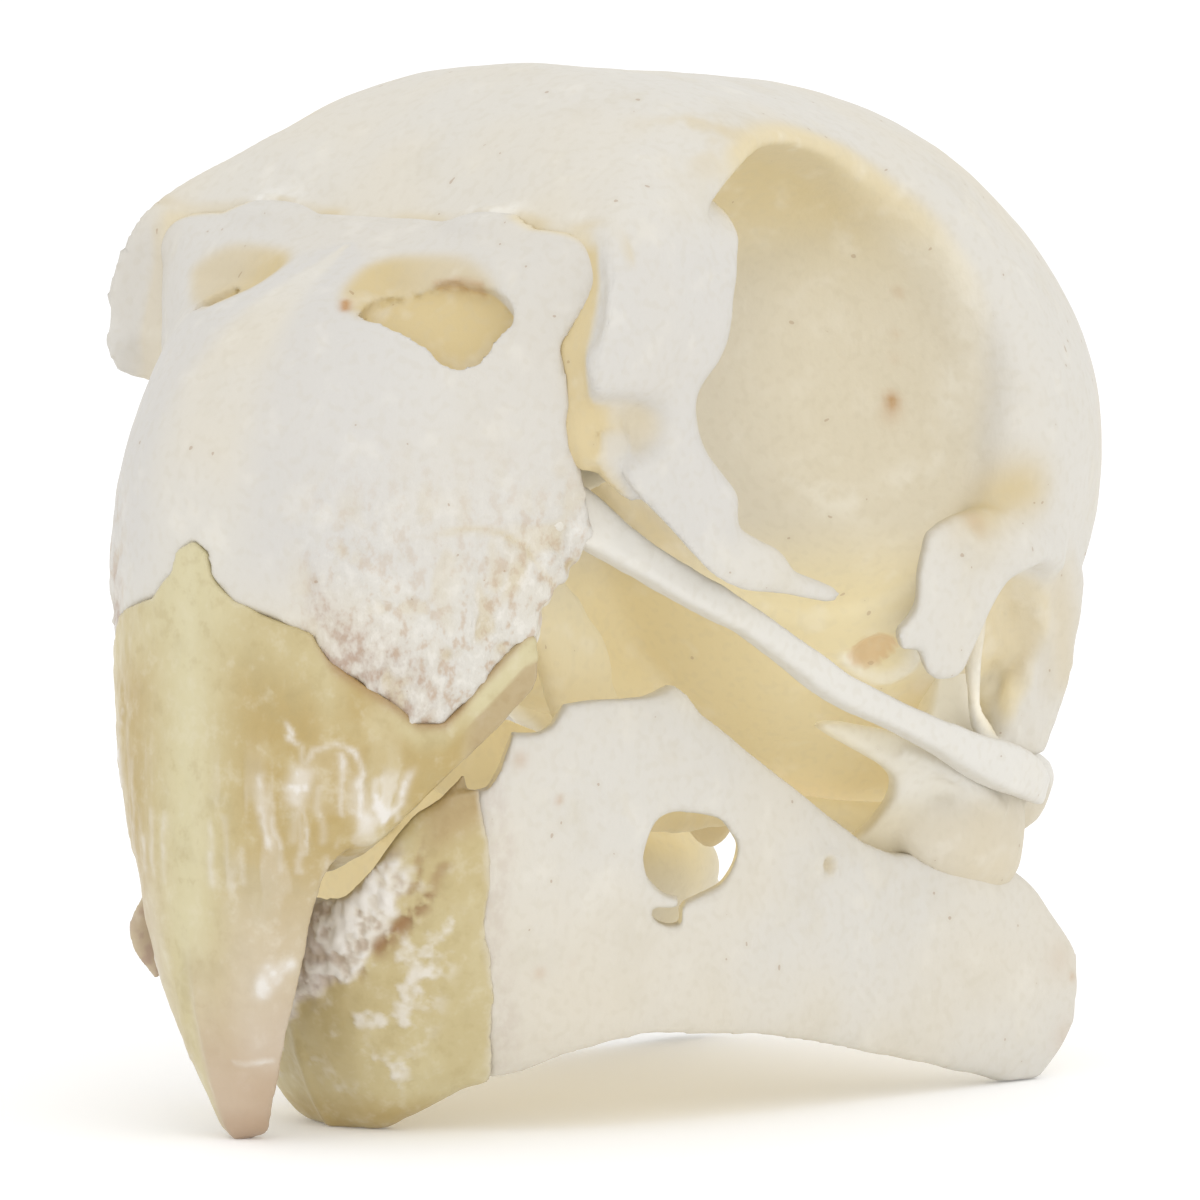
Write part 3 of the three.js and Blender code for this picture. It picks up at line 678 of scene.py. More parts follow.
def bone_paint(name):
    """Dry bone: warm white outside, with painted bounced light where the mesh says it is hollow, as an ochre
    colour and a glow, and with clouds, specks and grain.
    """
    tints = bpy.context.scene.skull_colours
    paint = Paint(name)
    place = paint.place()
    hollow, ochre_and_shade, stain, pale = (paint.attribute(trait) for trait in ("hollow", "ochre_and_shade", "stain", "pale"))
    rose, cool, painted_glow, rugged = (paint.attribute(trait) for trait in ("rose", "cool", "painted_glow", "rugged"))
    high = paint.node("ShaderNodeSeparateXYZ", None, {0: place}, 2)
    low = high.ramp(0.0148, 0.0124)
    wide = paint.cloud(place, 0.006, 2)
    fine = paint.cloud(place, 0.0009, 2)
    patchy = paint.cloud(place, 0.0018, 3, 0.6)
    base = paint.mix(wide.ramp(0.35, 0.7) * 0.55, tints.bone, colour(216, 206, 184))
    base = paint.mix(patchy.ramp(0.5, 0.75) * 0.4, base, colour(201, 193, 174))
    base = paint.mix(cool.clamped(), base, colour(205, 202, 197))
    # Painted bounced light: the hollows and the places with a painted glow turn from bone to ochre, paler in
    # the middle of the orbits, more ochre at their top and warmer low down.
    depth = (hollow + painted_glow * 0.6 + (wide - 0.5) * 0.3 * hollow.ramp(0.02, 0.3)).clamped()
    inside = paint.mix(high.ramp(0.0195, 0.0235), tints.hollow, tints.ochre)
    inside = paint.mix(low, inside, colour(222, 208, 166))
    base = paint.mix(depth, base, inside)
    # Ochre tint: real stains and seams in some places, and painted shade and bounced light in many hollows,
    # pits and grooves.
    base = paint.mix((ochre_and_shade + (wide - 0.5) * 0.3 * ochre_and_shade).clamped(), base, colour(203, 183, 134))
    base = paint.mix(fine.ramp(0.52, 0.8) * 0.3, base, colour(232, 228, 218))
    pore = paint.cloud(place, 0.00034, 3, 0.6, (1.0, 1.0, 0.75))
    # On rugged bone the grain's pits are painted dark as shade and its crests painted light as highlights.
    base = paint.mix(pore.ramp(0.5, 0.32) * rugged * 0.75, base, colour(188, 164, 138))
    base = paint.mix(pore.ramp(0.53, 0.68) * rugged * 0.4, base, colour(234, 230, 222))
    base = paint.mix((rose * (0.3 + pore.ramp(0.62, 0.36))).clamped() * 0.6, base, colour(166, 138, 122))
    base = paint.mix(pale.clamped() * 0.8, base, colour(240, 239, 234))
    base = paint.mix(stain.clamped() * 0.85, base, colour(176, 122, 52))
    speck = paint.cloud(place, 0.00022, 0)
    base = paint.mix(speck.ramp(0.5, 0.75) * 0.12, base, colour(190, 180, 156))
    base = paint.mix(speck.ramp(0.86, 0.87) * 0.4, base, colour(150, 110, 70))
    # Painted glow: the hollows, most of all low down, and the places marked for it give off ochre light,
    # standing in for light bounced inside the skull and shining through its thin bone.
    share = hollow * (0.1 + 0.47 * low) + painted_glow * 0.28
    glow = paint.mix(share.clamped(), (0.0, 0.0, 0.0), (1.0, 0.9, 0.62))
    height = pore * (1 + rugged * 4)
    grain = paint.node("ShaderNodeBump", None, {"Strength": 0.4, "Distance": 0.00005, "Height": height})
    return paint.finish({
        "Base Color": base, "Roughness": 0.42 + fine * 0.2, "Normal": grain, "Specular IOR Level": 0.45,
        "Emission Color": glow, "Emission Strength": 0.3})


def horn_paint(name):
    """Clear amber horn with chalky flakes where the mesh says so, streaks down its length and a pink tip."""
    tints = bpy.context.scene.skull_colours
    paint = Paint(name)
    place = paint.place()
    chalk, stain, rose, tip, amber, fade = (
        paint.attribute(trait) for trait in ("chalk", "stain", "rose", "tip", "amber", "fade"))
    wide = paint.cloud(place, 0.004, 2)
    fine = paint.cloud(place, 0.0006, 3, 0.65)
    streak = paint.cloud(place, 0.0012, 2, 0.5, (1.0, 1.0, 0.18))
    base = paint.mix((amber * 0.95 + (wide - 0.5) * 0.45).clamped(), tints.horn, colour(179, 155, 98))
    mottle = paint.cloud(place, 0.0016, 3, 0.6)
    base = paint.mix(mottle.ramp(0.5, 0.75) * 0.35, base, colour(212, 202, 164))
    base = paint.mix(mottle.ramp(0.48, 0.28) * 0.4, base, colour(172, 156, 110))
    base = paint.mix(streak.ramp(0.5, 0.75) * 0.3, base, colour(214, 205, 172))
    base = paint.mix(fine.ramp(0.5, 0.75) * 0.3, base, colour(220, 212, 188))
    base = paint.mix(fine.ramp(0.48, 0.3) * 0.25, base, colour(168, 148, 98))
    base = paint.mix(tip.clamped() * 0.75, base, colour(194, 170, 152))
    base = paint.mix(stain.clamped(), base, colour(140, 92, 44))
    base = paint.mix(chalk.clamped() * (0.75 + fine * 0.6), base, colour(226, 221, 213))
    # Rose is painted shade in the pits of the lower horn's crust.
    base = paint.mix(rose.clamped() * 0.55, base, colour(166, 140, 130))
    base = paint.mix(fade, base, colour(212, 205, 190))
    height = paint.cloud(place, 0.0006, 3, 0.6, (1.0, 1.0, 0.3)) + chalk.clamped() * fine
    grain = paint.node("ShaderNodeBump", None, {"Strength": 0.45, "Distance": 0.00005, "Height": height})
    return paint.finish({
        "Base Color": base, "Roughness": 0.32 + chalk.clamped() * 0.4, "Normal": grain,
    })


# Pieces


def make_piece(name, points, quads, material, replaced, traits=None):
    """Puts points in millimetres and faces into an object that rides on the body and stands for CAD nodes."""
    mesh = bpy.data.meshes.new(name)
    placed = (points + HINGE) * MM
    placed[:, 2] = np.maximum(placed[:, 2], 0)
    mesh.vertices.add(len(points))
    mesh.vertices.foreach_set("co", placed.astype(np.float32).ravel())
    mesh.loops.add(quads.size)
    mesh.loops.foreach_set("vertex_index", quads.astype(np.int32).ravel())
    mesh.polygons.add(len(quads))
    mesh.polygons.foreach_set("loop_start", np.arange(0, quads.size, 4, dtype=np.int32))
    mesh.update(calc_edges=True)
    mesh.shade_smooth()
    for trait, amount in (traits or {}).items():
        held = mesh.attributes.new(trait, "FLOAT", "POINT")
        held.data.foreach_set("value", np.asarray(amount, np.float32))
    mesh.materials.append(material)
    piece = bpy.data.objects.new(name, mesh)
    bpy.context.scene.collection.objects.link(piece)
    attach(piece, "root")
    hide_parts(*replaced)
    return piece


def material_named(name, make):
    """The material of that name, made the first time that it is asked for."""
    return bpy.data.materials.get(name) or make(name)


class SKULL_OT_cranium(bpy.types.Operator):
    """Fused cranium: vault, orbits, septum, lacrimals and the processes round the orbits."""

    bl_idname = "skull.cranium"
    bl_label = "Cranium"

    def execute(self, context):
        sizes = context.scene.skull_sizes
        block = Block((-10.6, -2, 5.8), (10.6, 22.6, 26.8), sizes.cranium_cell / MM)
        vault = block.solid(cranium_surface(), 2.2)
        front = block.plate(LACRIMAL, block.read(LACRIMAL_OUT), 0.4, 0.3, 0.9)
        front = front + 0.7 * step(block.z, 22, 24)
        back = block.plate(POSTORBITAL, block.read(POSTORBITAL_OUT), 0.4, 0.3, 0.9)
        bone = join(join(vault, front, 1.2), back, 0.7)
        soft = 0.5 + 1.5 * step(block.y, 9, 12) * step(block.z, 13.2, 15.5)
        bone = keep(bone, -block.ball(*ORBIT), soft)
        bone = join(bone, front, 0.35)
        bone = join(bone, keep(block.solid(blade_surface(SEPTUM, LEFT, 0.5)), block.z - 24, 0.3), 0.6)
        bone = join(bone, block.solid(blade_surface(ROSTRUM)), 0.6)
        bone = join(bone, block.both(blade_surface(WING, BACK, 0.8)), 0.6)
        bone = join(bone, block.ball(*LACRIMAL_CORE), 0.5)
        bone = join(bone, self.flange(block), 0.3)
        bone = keep(bone, -block.ball(*LACRIMAL_FOLD), 0.35)
        bone = join(bone, block.ball(*LACRIMAL_FILL), 0.3)
        bone = join(bone, block.plate(TAB, 8, 0.28, 0.12, 0.6), 0.1)
        bone = join(bone, block.ball(*LACRIMAL_KNOB), 0.25)
        bone = join(bone, block.both(blade_surface(CHEEK_RIDGE, UP)), 0.9)
        bone = keep(bone, -block.ball(*TEMPLE_HOLLOW, FOSSA_AXES), 0.5)
        bone = keep(bone, -block.ball(*EAR_HOLLOW), 0.4)
        bone = join(bone, block.plate(EAR_PLATE, block.read(EAR_PLATE_OUT), 0.7, 0.4), 0.5)
        bone = join(bone, back, 0.3)
        bone = join(bone, block.both(blade_surface(STRUT)), 0.15)
        bone = keep(bone, -block.ball(FORAMEN, FORAMEN_REACH, FORAMEN_AXES), 0.08)
        bone = join(bone, block.both(blade_surface(FORAMEN_RIM)), 0.12)
        bone = keep(bone, -block.ball(*SPINE_OPENING, pair=False), 0.4)
        bone = join(bone, block.ball(*SPINE_KNOB, pair=False), 0.5)
        bone = join(bone, block.ball(*SKULL_BASE, pair=False), 0.8)
        bone = join(bone, block.ball(*ROSTRUM_KNOB, pair=False), 0.4)
        bone = np.minimum(bone, hinge(block, vault, block.solid(bill_surface(), 2.2), 1))
        points, quads = block.surface(bone)
        points = relaxed(points, quads)
        x, y, z = np.abs(points[:, 0]), points[:, 1], points[:, 2]
        lines = step(y, 14.2, 14.8) * step(z, 13, 12) * step(z, 7.6, 8.4) * step(x, 6, 6.6)
        lines = lines * noise((points + [0, 0.25, 0] * points[:, 2:]) * [1, 1, 0.12], 0.4, 17)
        relief = rough(points, 2.4, 11) * 0.04 + lines * 0.14 + spread(points, NUCHAL_CREST, 0.45) * 0.16
        relief = relief + spread(points, BROW, 1.5) * 0.26
        points = points + facing(points, quads) * relief[:, None]
        # The right lacrimal's front corner lies a little lower
        lobe = step(points[:, 0], -6, -7.5) * step(y, 0.8, 0.2) * step(z, 21, 19.2) * step(z, 17.8, 18.6)
        points[:, 2] -= 0.3 * lobe
        rim = spread(points, ORBIT_RIM, 1.3) * step(rough(points, 1.1, 15), -0.5, 0.5)
        # Along the hinge the groove is painted as a tan line, with a painted glow that lifts its shade.
        crack = step(y, 0.3, 0.05) * step(z, 22.5, 22.1) * step(z, 21.2, 21.6) * step(x, 8, 7.4)
        left = np.stack([x, y, z], -1)
        # Painted bounced light in the crevice between the bill and the lacrimal: the lacrimal's front edge is
        # painted ochre with a painted glow.
        gap = step(z, 22.3, 21.8) * step(z, 15, 15.5) * step(x, 6.6, 7) * step(x, 8.1, 7.8)
        gap = gap * step(y, 0.9, 0.3)
        tab = step(loop_distance(y - 0.6 * (8 - x), z, rounded(TAB)), 0.1, 0) * step(x, 7.6, 7.8)
        # The fold of the lacrimal is painted tan, with a faint painted glow.
        dent = spread(points, LACRIMAL_DENT, 0.9) * step(x, 8.35, 7.9) * (1 - tab)
        # The ear's recess is painted ochre with a painted glow as bounced light, brighter low down.
        ear = step(np.linalg.norm((left - EAR_HOLLOW[0]) / [2.1, 1.75, 2.5], axis=1), 1.1, 0.95)
        ear = ear * step(x, 8.4, 7.9) * step(y - 14.95 - 0.556 * (z - 9.9), 0.35, -0.35)
        # Painted shade in the hollow of the temple.
        fossa = spread(points, TEMPLE, 0.8) * 0.85
        seam = np.exp(-((y - 0.03) / 0.14) ** 2) * step(z, 21.4, 21.9) * (0.3 + 0.3 * noise(points, 0.9, 18))
        # Inside the opening under the orbit: painted amber and a painted glow, as light through the thin
        # bone.
        hole = np.linalg.norm((left - FORAMEN) @ FORAMEN_AXES.T / [0.62, 0.4, 0.6], axis=1)
        hole = step(hole, 1.1, 0.98)
        place = np.linalg.norm((left - ORBIT[0]) / ORBIT[1], axis=1)
        # Painted glow on the orbit's back and upper walls, which lifts their shade.
        wall = step(place, 1.13, 1.05) * step(x, 8.3, 7.4)
        wall = wall * np.maximum(step(y, 10, 12), step(z, 20.5, 22.5) * step(y, 3.5, 5))
        # Painted glow and ochre on the underside of the skull, seen through the jaw's window.
        under = step(z, 8.6, 7.4) * step(x, 4, 2.6)
        # The crevice's painted light is weaker on the right side.
        gap = gap * np.where(points[:, 0] > 0, 1, 0.3)
        # Painted bounced-light ochre on the top of the orbit's front wall.
        top = step(place, 1.16, 1.06) * step(x, 8.3, 7.4) * step(z, 21.2, 22.8) * step(y, 3.5, 5)
        plate = spread(points, EAR_STAIN, 0.7)
        # Painted glow on the bone low in the front of the orbit.
        front = step(z, 17, 16) * step(z, 11, 12) * step(y, 5, 3.5) * step(x, 7.2, 6.6)
        # Painted ochre and glow on the bone seen under the lacrimal.
        under_lacrimal = spread(points, UNDER_LACRIMAL, 0.7)
        # Painted highlights at the back of the orbit.
        gloss = spread(points, ORBIT_GLOSS, 0.5) * step(rough(points * [1, 1, 2], 0.9, 19), -0.2, 0.8) * 0.55
        # Painted highlights on the welts along the hinge.
        hinge_highlight = spread(points, HINGE_HIGHLIGHT, 0.4) * step(rough(points, 0.5, 16), -0.4, 0.5)
        make_piece("cranium", points, quads, material_named("cranium_bone", bone_paint),
                   ("braincase", "frontal", "interorbital_septum", "lacrimal_left", "lacrimal_right"),
                   {"stain": np.maximum(spots(points, CRANIUM_SPOTS), hole * 0.6),
                    "ochre_and_shade": np.max([rim * 0.75, crack * 0.35, gap * 0.9, dent * 0.45, fossa, ear * 0.45,
                                     seam, hole * 0.6, under * 0.6, under_lacrimal * 0.7, top * 0.45,
                                     plate * 0.45], 0),
                    "painted_glow": np.max([wall, gap * 0.6, crack * 0.7, hole, ear * (0.4 + step(z, 10.8, 10)),
                                   under * 1.6, front, dent * 0.35, under_lacrimal * 0.8], 0),
                    "cool": step(x, 7, 7.6) * step(y, 4.6, 3.6) * step(z, 14, 15) * step(z, 23, 21.5) * 0.6,
                    "pale": np.max([hinge_highlight, gloss, spread(points, FORAMEN_RIM[:, :3], 0.22),
                                    spread(points, STRUT[:, :3], 0.25)], 0)})
        return {"FINISHED"}

    def flange(self, block):
        """Wall across the gap between the bill's side and the lacrimal, behind the bill's back margin."""
        wall = np.abs(block.y - 0.8 * block.read(BILL_BACK) - 0.15) - 0.34
        wall = keep(wall, np.abs(np.abs(block.x) - 7.4) - 0.9 + 1.9 * step(block.z, 17, 16.2), 0.15)
        return keep(wall, np.abs(block.z - 19) - 2.9, 0.2)


# Long, short and outward direction of the hollow behind the orbit, in the order of its reach
FOSSA_AXES = (LEFT, np.array([0, 0.91, 0.42]), np.array([0, -0.42, 0.91]))
# Opening in the wall under the orbit: its middle, its reach, then its long, short and outward direction
FORAMEN = np.array([6.54, 10.77, 11.45])
FORAMEN_REACH = (0.58, 0.36, 0.5)
FORAMEN_AXES = np.array([[0.609, 0.663, 0.438], [-0.365, -0.255, 0.895], [0.704, -0.704, 0.087]])
# Painted highlights on the thin bone at the back of the orbit
ORBIT_GLOSS = np.array([
    [3.1, 11.1, 15.6], [4.3, 11.6, 15.1], [5.4, 12, 15], [6.6, 12.9, 16.4],
    [7.1, 13.2, 18.2], [7.2, 13.1, 19.8],
])
# Places in the fold of the lacrimal that are painted tan, and in the hollow of the temple where shade is
# painted
LACRIMAL_DENT = np.array([[7.6, -0.6, 17.6], [7.7, 0.4, 17.7], [8, 1.3, 17.8]])
TEMPLE = np.array([[8.5, 11.9, 14.6], [8.6, 12.9, 15.2], [8.6, 13.9, 15.5]])
# Crest over the back of the head, from above the ear to the middle
NUCHAL_CREST = np.array([
    [7.6, 16.6, 12], [7.1, 17.6, 14], [5.8, 18.9, 16], [4, 19.9, 17.3], [2, 20.6, 17.9], [0, 20.8, 17.5],
])
# Swelling of the brow behind the bill's hinge
BROW = np.array([[7.3, 1.1, 22.5], [6, 1.3, 23.4], [4.6, 1.5, 23.9]])
# Bone in the middle that is seen under the lacrimal, painted ochre with a glow as bounced light
UNDER_LACRIMAL = np.array([[1.3, 6.3, 15.7], [1.7, 6.7, 15.2], [2, 7.1, 14.7], [2.5, 7.4, 14]])
# Stain on the bone behind the ear
EAR_STAIN = np.array([[7.8, 15.9, 13], [7.8, 16.3, 12], [7.6, 16.6, 10.6]])
# Top rim of the orbit, painted a mottled ochre, and painted highlights on the welts along the hinge, as
# points of the left side
ORBIT_RIM = np.array([[6.6, 4.6, 24], [6.7, 5.8, 23.9], [6.9, 7.2, 23.6], [7.4, 9, 22.9], [7.9, 10.6, 21.8]])
HINGE_HIGHLIGHT = np.array([[3.4, 0.1, 22.5], [3.9, 0.1, 22.6], [4.4, 0.1, 22.5]])
# x, y, z, reach and strength of small brown stains
CRANIUM_SPOTS = np.array([
    [5.2, 12.86, 17.55, 0.2, 0.95], [5.2, 12.8, 17.25, 0.3, 0.35], [5.3, 12.75, 18.6, 0.16, 0.3],
    [5.35, 12.75, 19.2, 0.14, 0.3], [5.65, 12.6, 20.3, 0.16, 0.35], [6.5, 12.45, 10.3, 0.5, 0.2],
    [0, 11.6, 6.4, 1, 0.15], [8.9, 11.9, 14.7, 0.35, 0.3],
    [8.3, 2.4, 24.2, 0.3, 0.5], [7.6, 13.6, 24.1, 0.14, 0.8], [8.9, 0.6, 18, 0.5, 0.12],
])


def hinge(block, vault, bill, side):
    """Forehead and bill filleted where they meet, cut at the hinge: side 1 keeps the back, -1 the front."""
    flush = step(np.abs(block.x), 5, 4.3)
    both = join(vault, bill, 0.7)
    both = join(both, block.ball(*HINGE_WELT), 0.5)
    if side > 0:
        held = np.maximum(both, 0.01 * (1 - flush) - block.y)
    else:
        held = both + 0.1 * flush * np.maximum(block.y + 0.2, 0)
        held = np.maximum(held, block.y - 0.55 * flush + 0.01)
    held = np.maximum(held, side * block.y - 0.8)
    return np.maximum(held, np.maximum(np.abs(block.x) - 7.9, 21 - block.z)).astype(np.float32)


def spread(points, places, reach):
    """Share from 0 to 1 that falls off with the distance to a line of places, on both sides of the skull."""
    near = np.abs(points) * [1, 0, 0] + points * [0, 1, 1]
    share = np.zeros(len(points))
    for start, end in zip(places, places[1:]):
        edge = end - start
        part = np.clip((near - start) @ edge / (edge @ edge), 0, 1)
        gap = np.linalg.norm(near - start - part[:, None] * edge, axis=1)
        share = np.maximum(share, np.exp(-(gap / reach) ** 2))
    return share


def spots(points, table):
    """Sum of soft round stains at the places of a table."""
    total = np.zeros(len(points))
    for x, y, z, reach, strength in table:
        gap = np.linalg.norm(points - [x, y, z], axis=1)
        total += strength * np.exp(-(gap / reach) ** 2)
    return total


def round_bill(points):
    """Angle round the bill from its front in degrees, and height over the line where the upper horn ends."""
    angle = np.degrees(np.arctan2(np.abs(points[:, 0]), -(points[:, 1] + 1)))
    return angle, points[:, 2] - np.interp(angle, UPPER_HORN[:, 0], UPPER_HORN[:, 1])


def horn_height(block):
    """Height over the ragged line where the upper horn ends, read by the angle round the bill."""
    angle = np.degrees(np.arctan2(np.abs(block.x), -(block.y + 1)))
    line = np.interp(angle, UPPER_HORN[:, 0], UPPER_HORN[:, 1]).astype(np.float32)
    height = (block.z - line) * 0.75 + block.noise(0.8, 21) * 0.05
    return keep(height, block.y + 0.95, 0.5)


def nostril_plane(x, y, z):
    """Places along and up the plane of the left nostril."""
    rise = np.cross(NARIS_OUT, NARIS_RUN)
    gap = (x - NARIS[0], y - NARIS[1], z - NARIS[2])
    return sum(g * a for g, a in zip(gap, NARIS_RUN)), sum(g * a for g, a in zip(gap, rise))


def nostril_tints(points, depth):
    """Shares of the nostrils' pale floor, painted as light shining through the bill, of the tan shelf over
    it, painted as shade on its slope, and of brown marks along its edge.
    """
    near = points * np.sign(points[:, :1]) ** [1, 0, 0]
    run, up = nostril_plane(*near.T)
    close = step(np.linalg.norm(near - NARIS, axis=1), 3.9, 3.2)
    shelf = step(loop_distance(run, up, rounded(NARIS_SHELF, 3)), 0.2, -0.45)
    shelf = shelf * (0.6 + 0.35 * step(run, 0.5, -1.8))
    return (close * step(depth, 0.42, 0.56), close * shelf * step(depth, -0.05, 0.1),
            close * (points[:, 0] > 0) * scratches(run, up, NARIS_MARKS))


# Brown marks round the nostril: both ends of a stroke along and up its plane, width and strength
NARIS_MARKS = np.array([
    [-2.15, 0.45, -2.1, 0.2, 0.14, 1], [0.02, 1.02, 0.54, 0.98, 0.08, 0.45],
    [0.54, 0.98, 1.3, 0.66, 0.08, 0.45],
])


def nostrils(block, bone, whole):
    """Bone with its nostrils cut: a shelf that slopes in from the upper rim, and a hole with a flat floor."""
    low, high = NARIS - 4, NARIS + 4
    for side in (1, -1):
        corner = np.sort([low * [side, 1, 1], high * [side, 1, 1]], 0)
        limit = (block.start + block.count - 3) * block.cell
        part = Block(corner[0], np.minimum(corner[1], limit), block.cell)
        start = part.start - block.start
        cut = tuple(slice(i, i + n) for i, n in zip(start, part.count))
        run, up = nostril_plane(part.x * side, part.y, part.z)
        ragged = part.noise(0.45, 71) * 0.07
        shelf = loop_distance(run, up, rounded(NARIS_SHELF, 3))
        hole = loop_distance(run, up, rounded(NARIS_HOLE, 3)) + ragged
        if side < 0:
            hole = np.maximum(hole + 0.2, run + 0.4)
        skin_depth = whole[cut]
        held = keep(bone[cut], (skin_depth - 0.42 * np.maximum(shelf, -1.1)) * 0.9, 0.15)
        bone[cut] = np.maximum(held, -np.maximum(hole, -skin_depth - 0.62))
    return bone


class SKULL_OT_upper_bill(bpy.types.Operator):
    """Bone of the upper bill with its nostrils."""

    bl_idname = "skull.upper_bill"
    bl_label = "Upper bill"

    def execute(self, context):
        sizes = context.scene.skull_sizes
        block = Block((-8.4, -8.2, -0.5), (8.4, 1.4, 23.2), sizes.bill_cell / MM)
        whole = block.solid(bill_surface(), 2.2)
        above = horn_height(block)
        behind = block.y - block.read(BILL_BACK) - np.maximum(6.5 - np.abs(block.x), 0)
        # A plug behind the nostrils closes the bill towards the forehead
        plug = np.maximum(np.abs(block.z - 18.8) - 2.9, np.abs(block.y) - 0.8)
        whole = np.minimum(whole, np.maximum(np.abs(block.x) - 6.4, plug))
        bone = nostrils(block, keep(whole, behind, 0.3), whole)
        bone = np.minimum(bone, hinge(block, block.solid(cranium_surface(), 2.2), whole, -1))
        bone = keep(bone + 0.25 * step(above, 0.03, -0.1), -(above + 0.9), 0.3)
        points, quads = block.surface(bone)
        points = relaxed(points, quads)
        depth = -read_at(block, whole, points)
        x, y, z = np.abs(points[:, 0]), points[:, 1], points[:, 2]
        angle, over = round_bill(points)
        cheek = step(angle, 24, 50) * step(z, 18, 14.8) * (0.4 + 0.6 * step(over, 4, 0.8))
        drawn = points * [1, 1, 0.55] + 0.35 * np.stack([noise(points, 1, 80 + k) for k in range(3)], -1)
        wrinkle = 1 - 2 * np.abs(noise(drawn, 0.8, 83)) + 0.5 * (1 - 2 * np.abs(noise(drawn, 0.42, 84)))
        pits = step(cells(points, 1.0, 5), 0.28, 0.1) * step(noise(points, 1.3, 8), -0.1, 0.3) * cheek
        rim = step(y, -1.5, -0.6) * step(z, 16.2, 15.2) * step(angle, 80, 88)
        knobs = step(cells(points, 0.75, 9), 0.6, 0.2) * rim
        arc = np.interp(angle, [60, 74, 80, 86, 89, 95], [15.1, 15.3, 15.2, 14.8, 14.3, 13.5]) - z
        lobe = step(arc, 0, 0.22) * step(arc, 2.4, 0.6) * step(angle, 58, 68) * step(angle, 90, 86)
        relief = (rough(points, 2.4, 11) * 0.04 + cheek * (1 - 0.5 * lobe) * 0.11 * wrinkle + 0.1 * lobe
                  + 0.12 * knobs - pits * 2 * sizes.pore_depth / MM)
        points = points + facing(points, quads) * relief[:, None]
        rose = step(over, 2.4, 0) * step(angle, 33, 40) * step(angle, 78, 52)
        rose = rose * step(rough(points, 0.9, 85), -1, 0.4)
        cool = step(angle, 8, 26) * (1 - 0.4 * step(angle, 45, 75)) * step(z, 12.5, 15) * 0.8
        shade = cheek * step(wrinkle, 0.5, -0.6) * 0.5
        shade = shade + np.exp(-((arc - 0.05) / 0.1) ** 2) * step(angle, 62, 72) * 0.35
        crack = step(y, -0.35, -0.1) * step(z, 20.9, 21.4) * step(x, 4.4, 5)
        floor, shelf, marks = nostril_tints(points, depth)
        # The cheek's pits, its wrinkles and the fold under the horn's edge are painted dark as shade. The
        # nostril's floor gets a painted glow, and the hinge groove a painted glow that lifts its shade.
        make_piece("upper_bill_bone", points, quads, material_named("bill_bone", bone_paint),
                   ("upper_bill",),
                   {"ochre_and_shade": np.clip(np.maximum(floor, shelf) + pits * 0.8 + shade + crack * 0.4, 0, 1),
                    "rose": rose, "cool": cool, "pale": knobs * 0.7, "stain": np.maximum(pits * 0.12, marks),
                    "painted_glow": np.maximum(floor * 0.3, crack * 0.8), "rugged": cheek})
        return {"FINISHED"}


def jaw_and_horn_line(block):
    """Distance to the lower jaw with its horn, and the way back from the ragged line where the horn ends."""
    side = jaw_surface()
    whole = join(block.solid(side), block.solid(mirrored(side)), 0.3)
    inside = np.maximum(5.5 - np.abs(block.x), 0)
    seen = block.y - 0.95 * inside * step(block.y, 2, 0) * step(block.y, -2.4, -1.6)
    crest = np.interp(seen, JAW_CREST[:, 0], JAW_CREST[:, 1]).astype(np.float32)
    whole = keep(whole, (block.z - crest) * 0.9, 0.15)
    whole = keep(whole, -block.z, 0.08)
    line = block.read(LOWER_HORN)
    return whole, (block.y - line) * 0.9 + block.noise(0.9, 41) * 0.08 + block.noise(0.35, 42) * 0.04


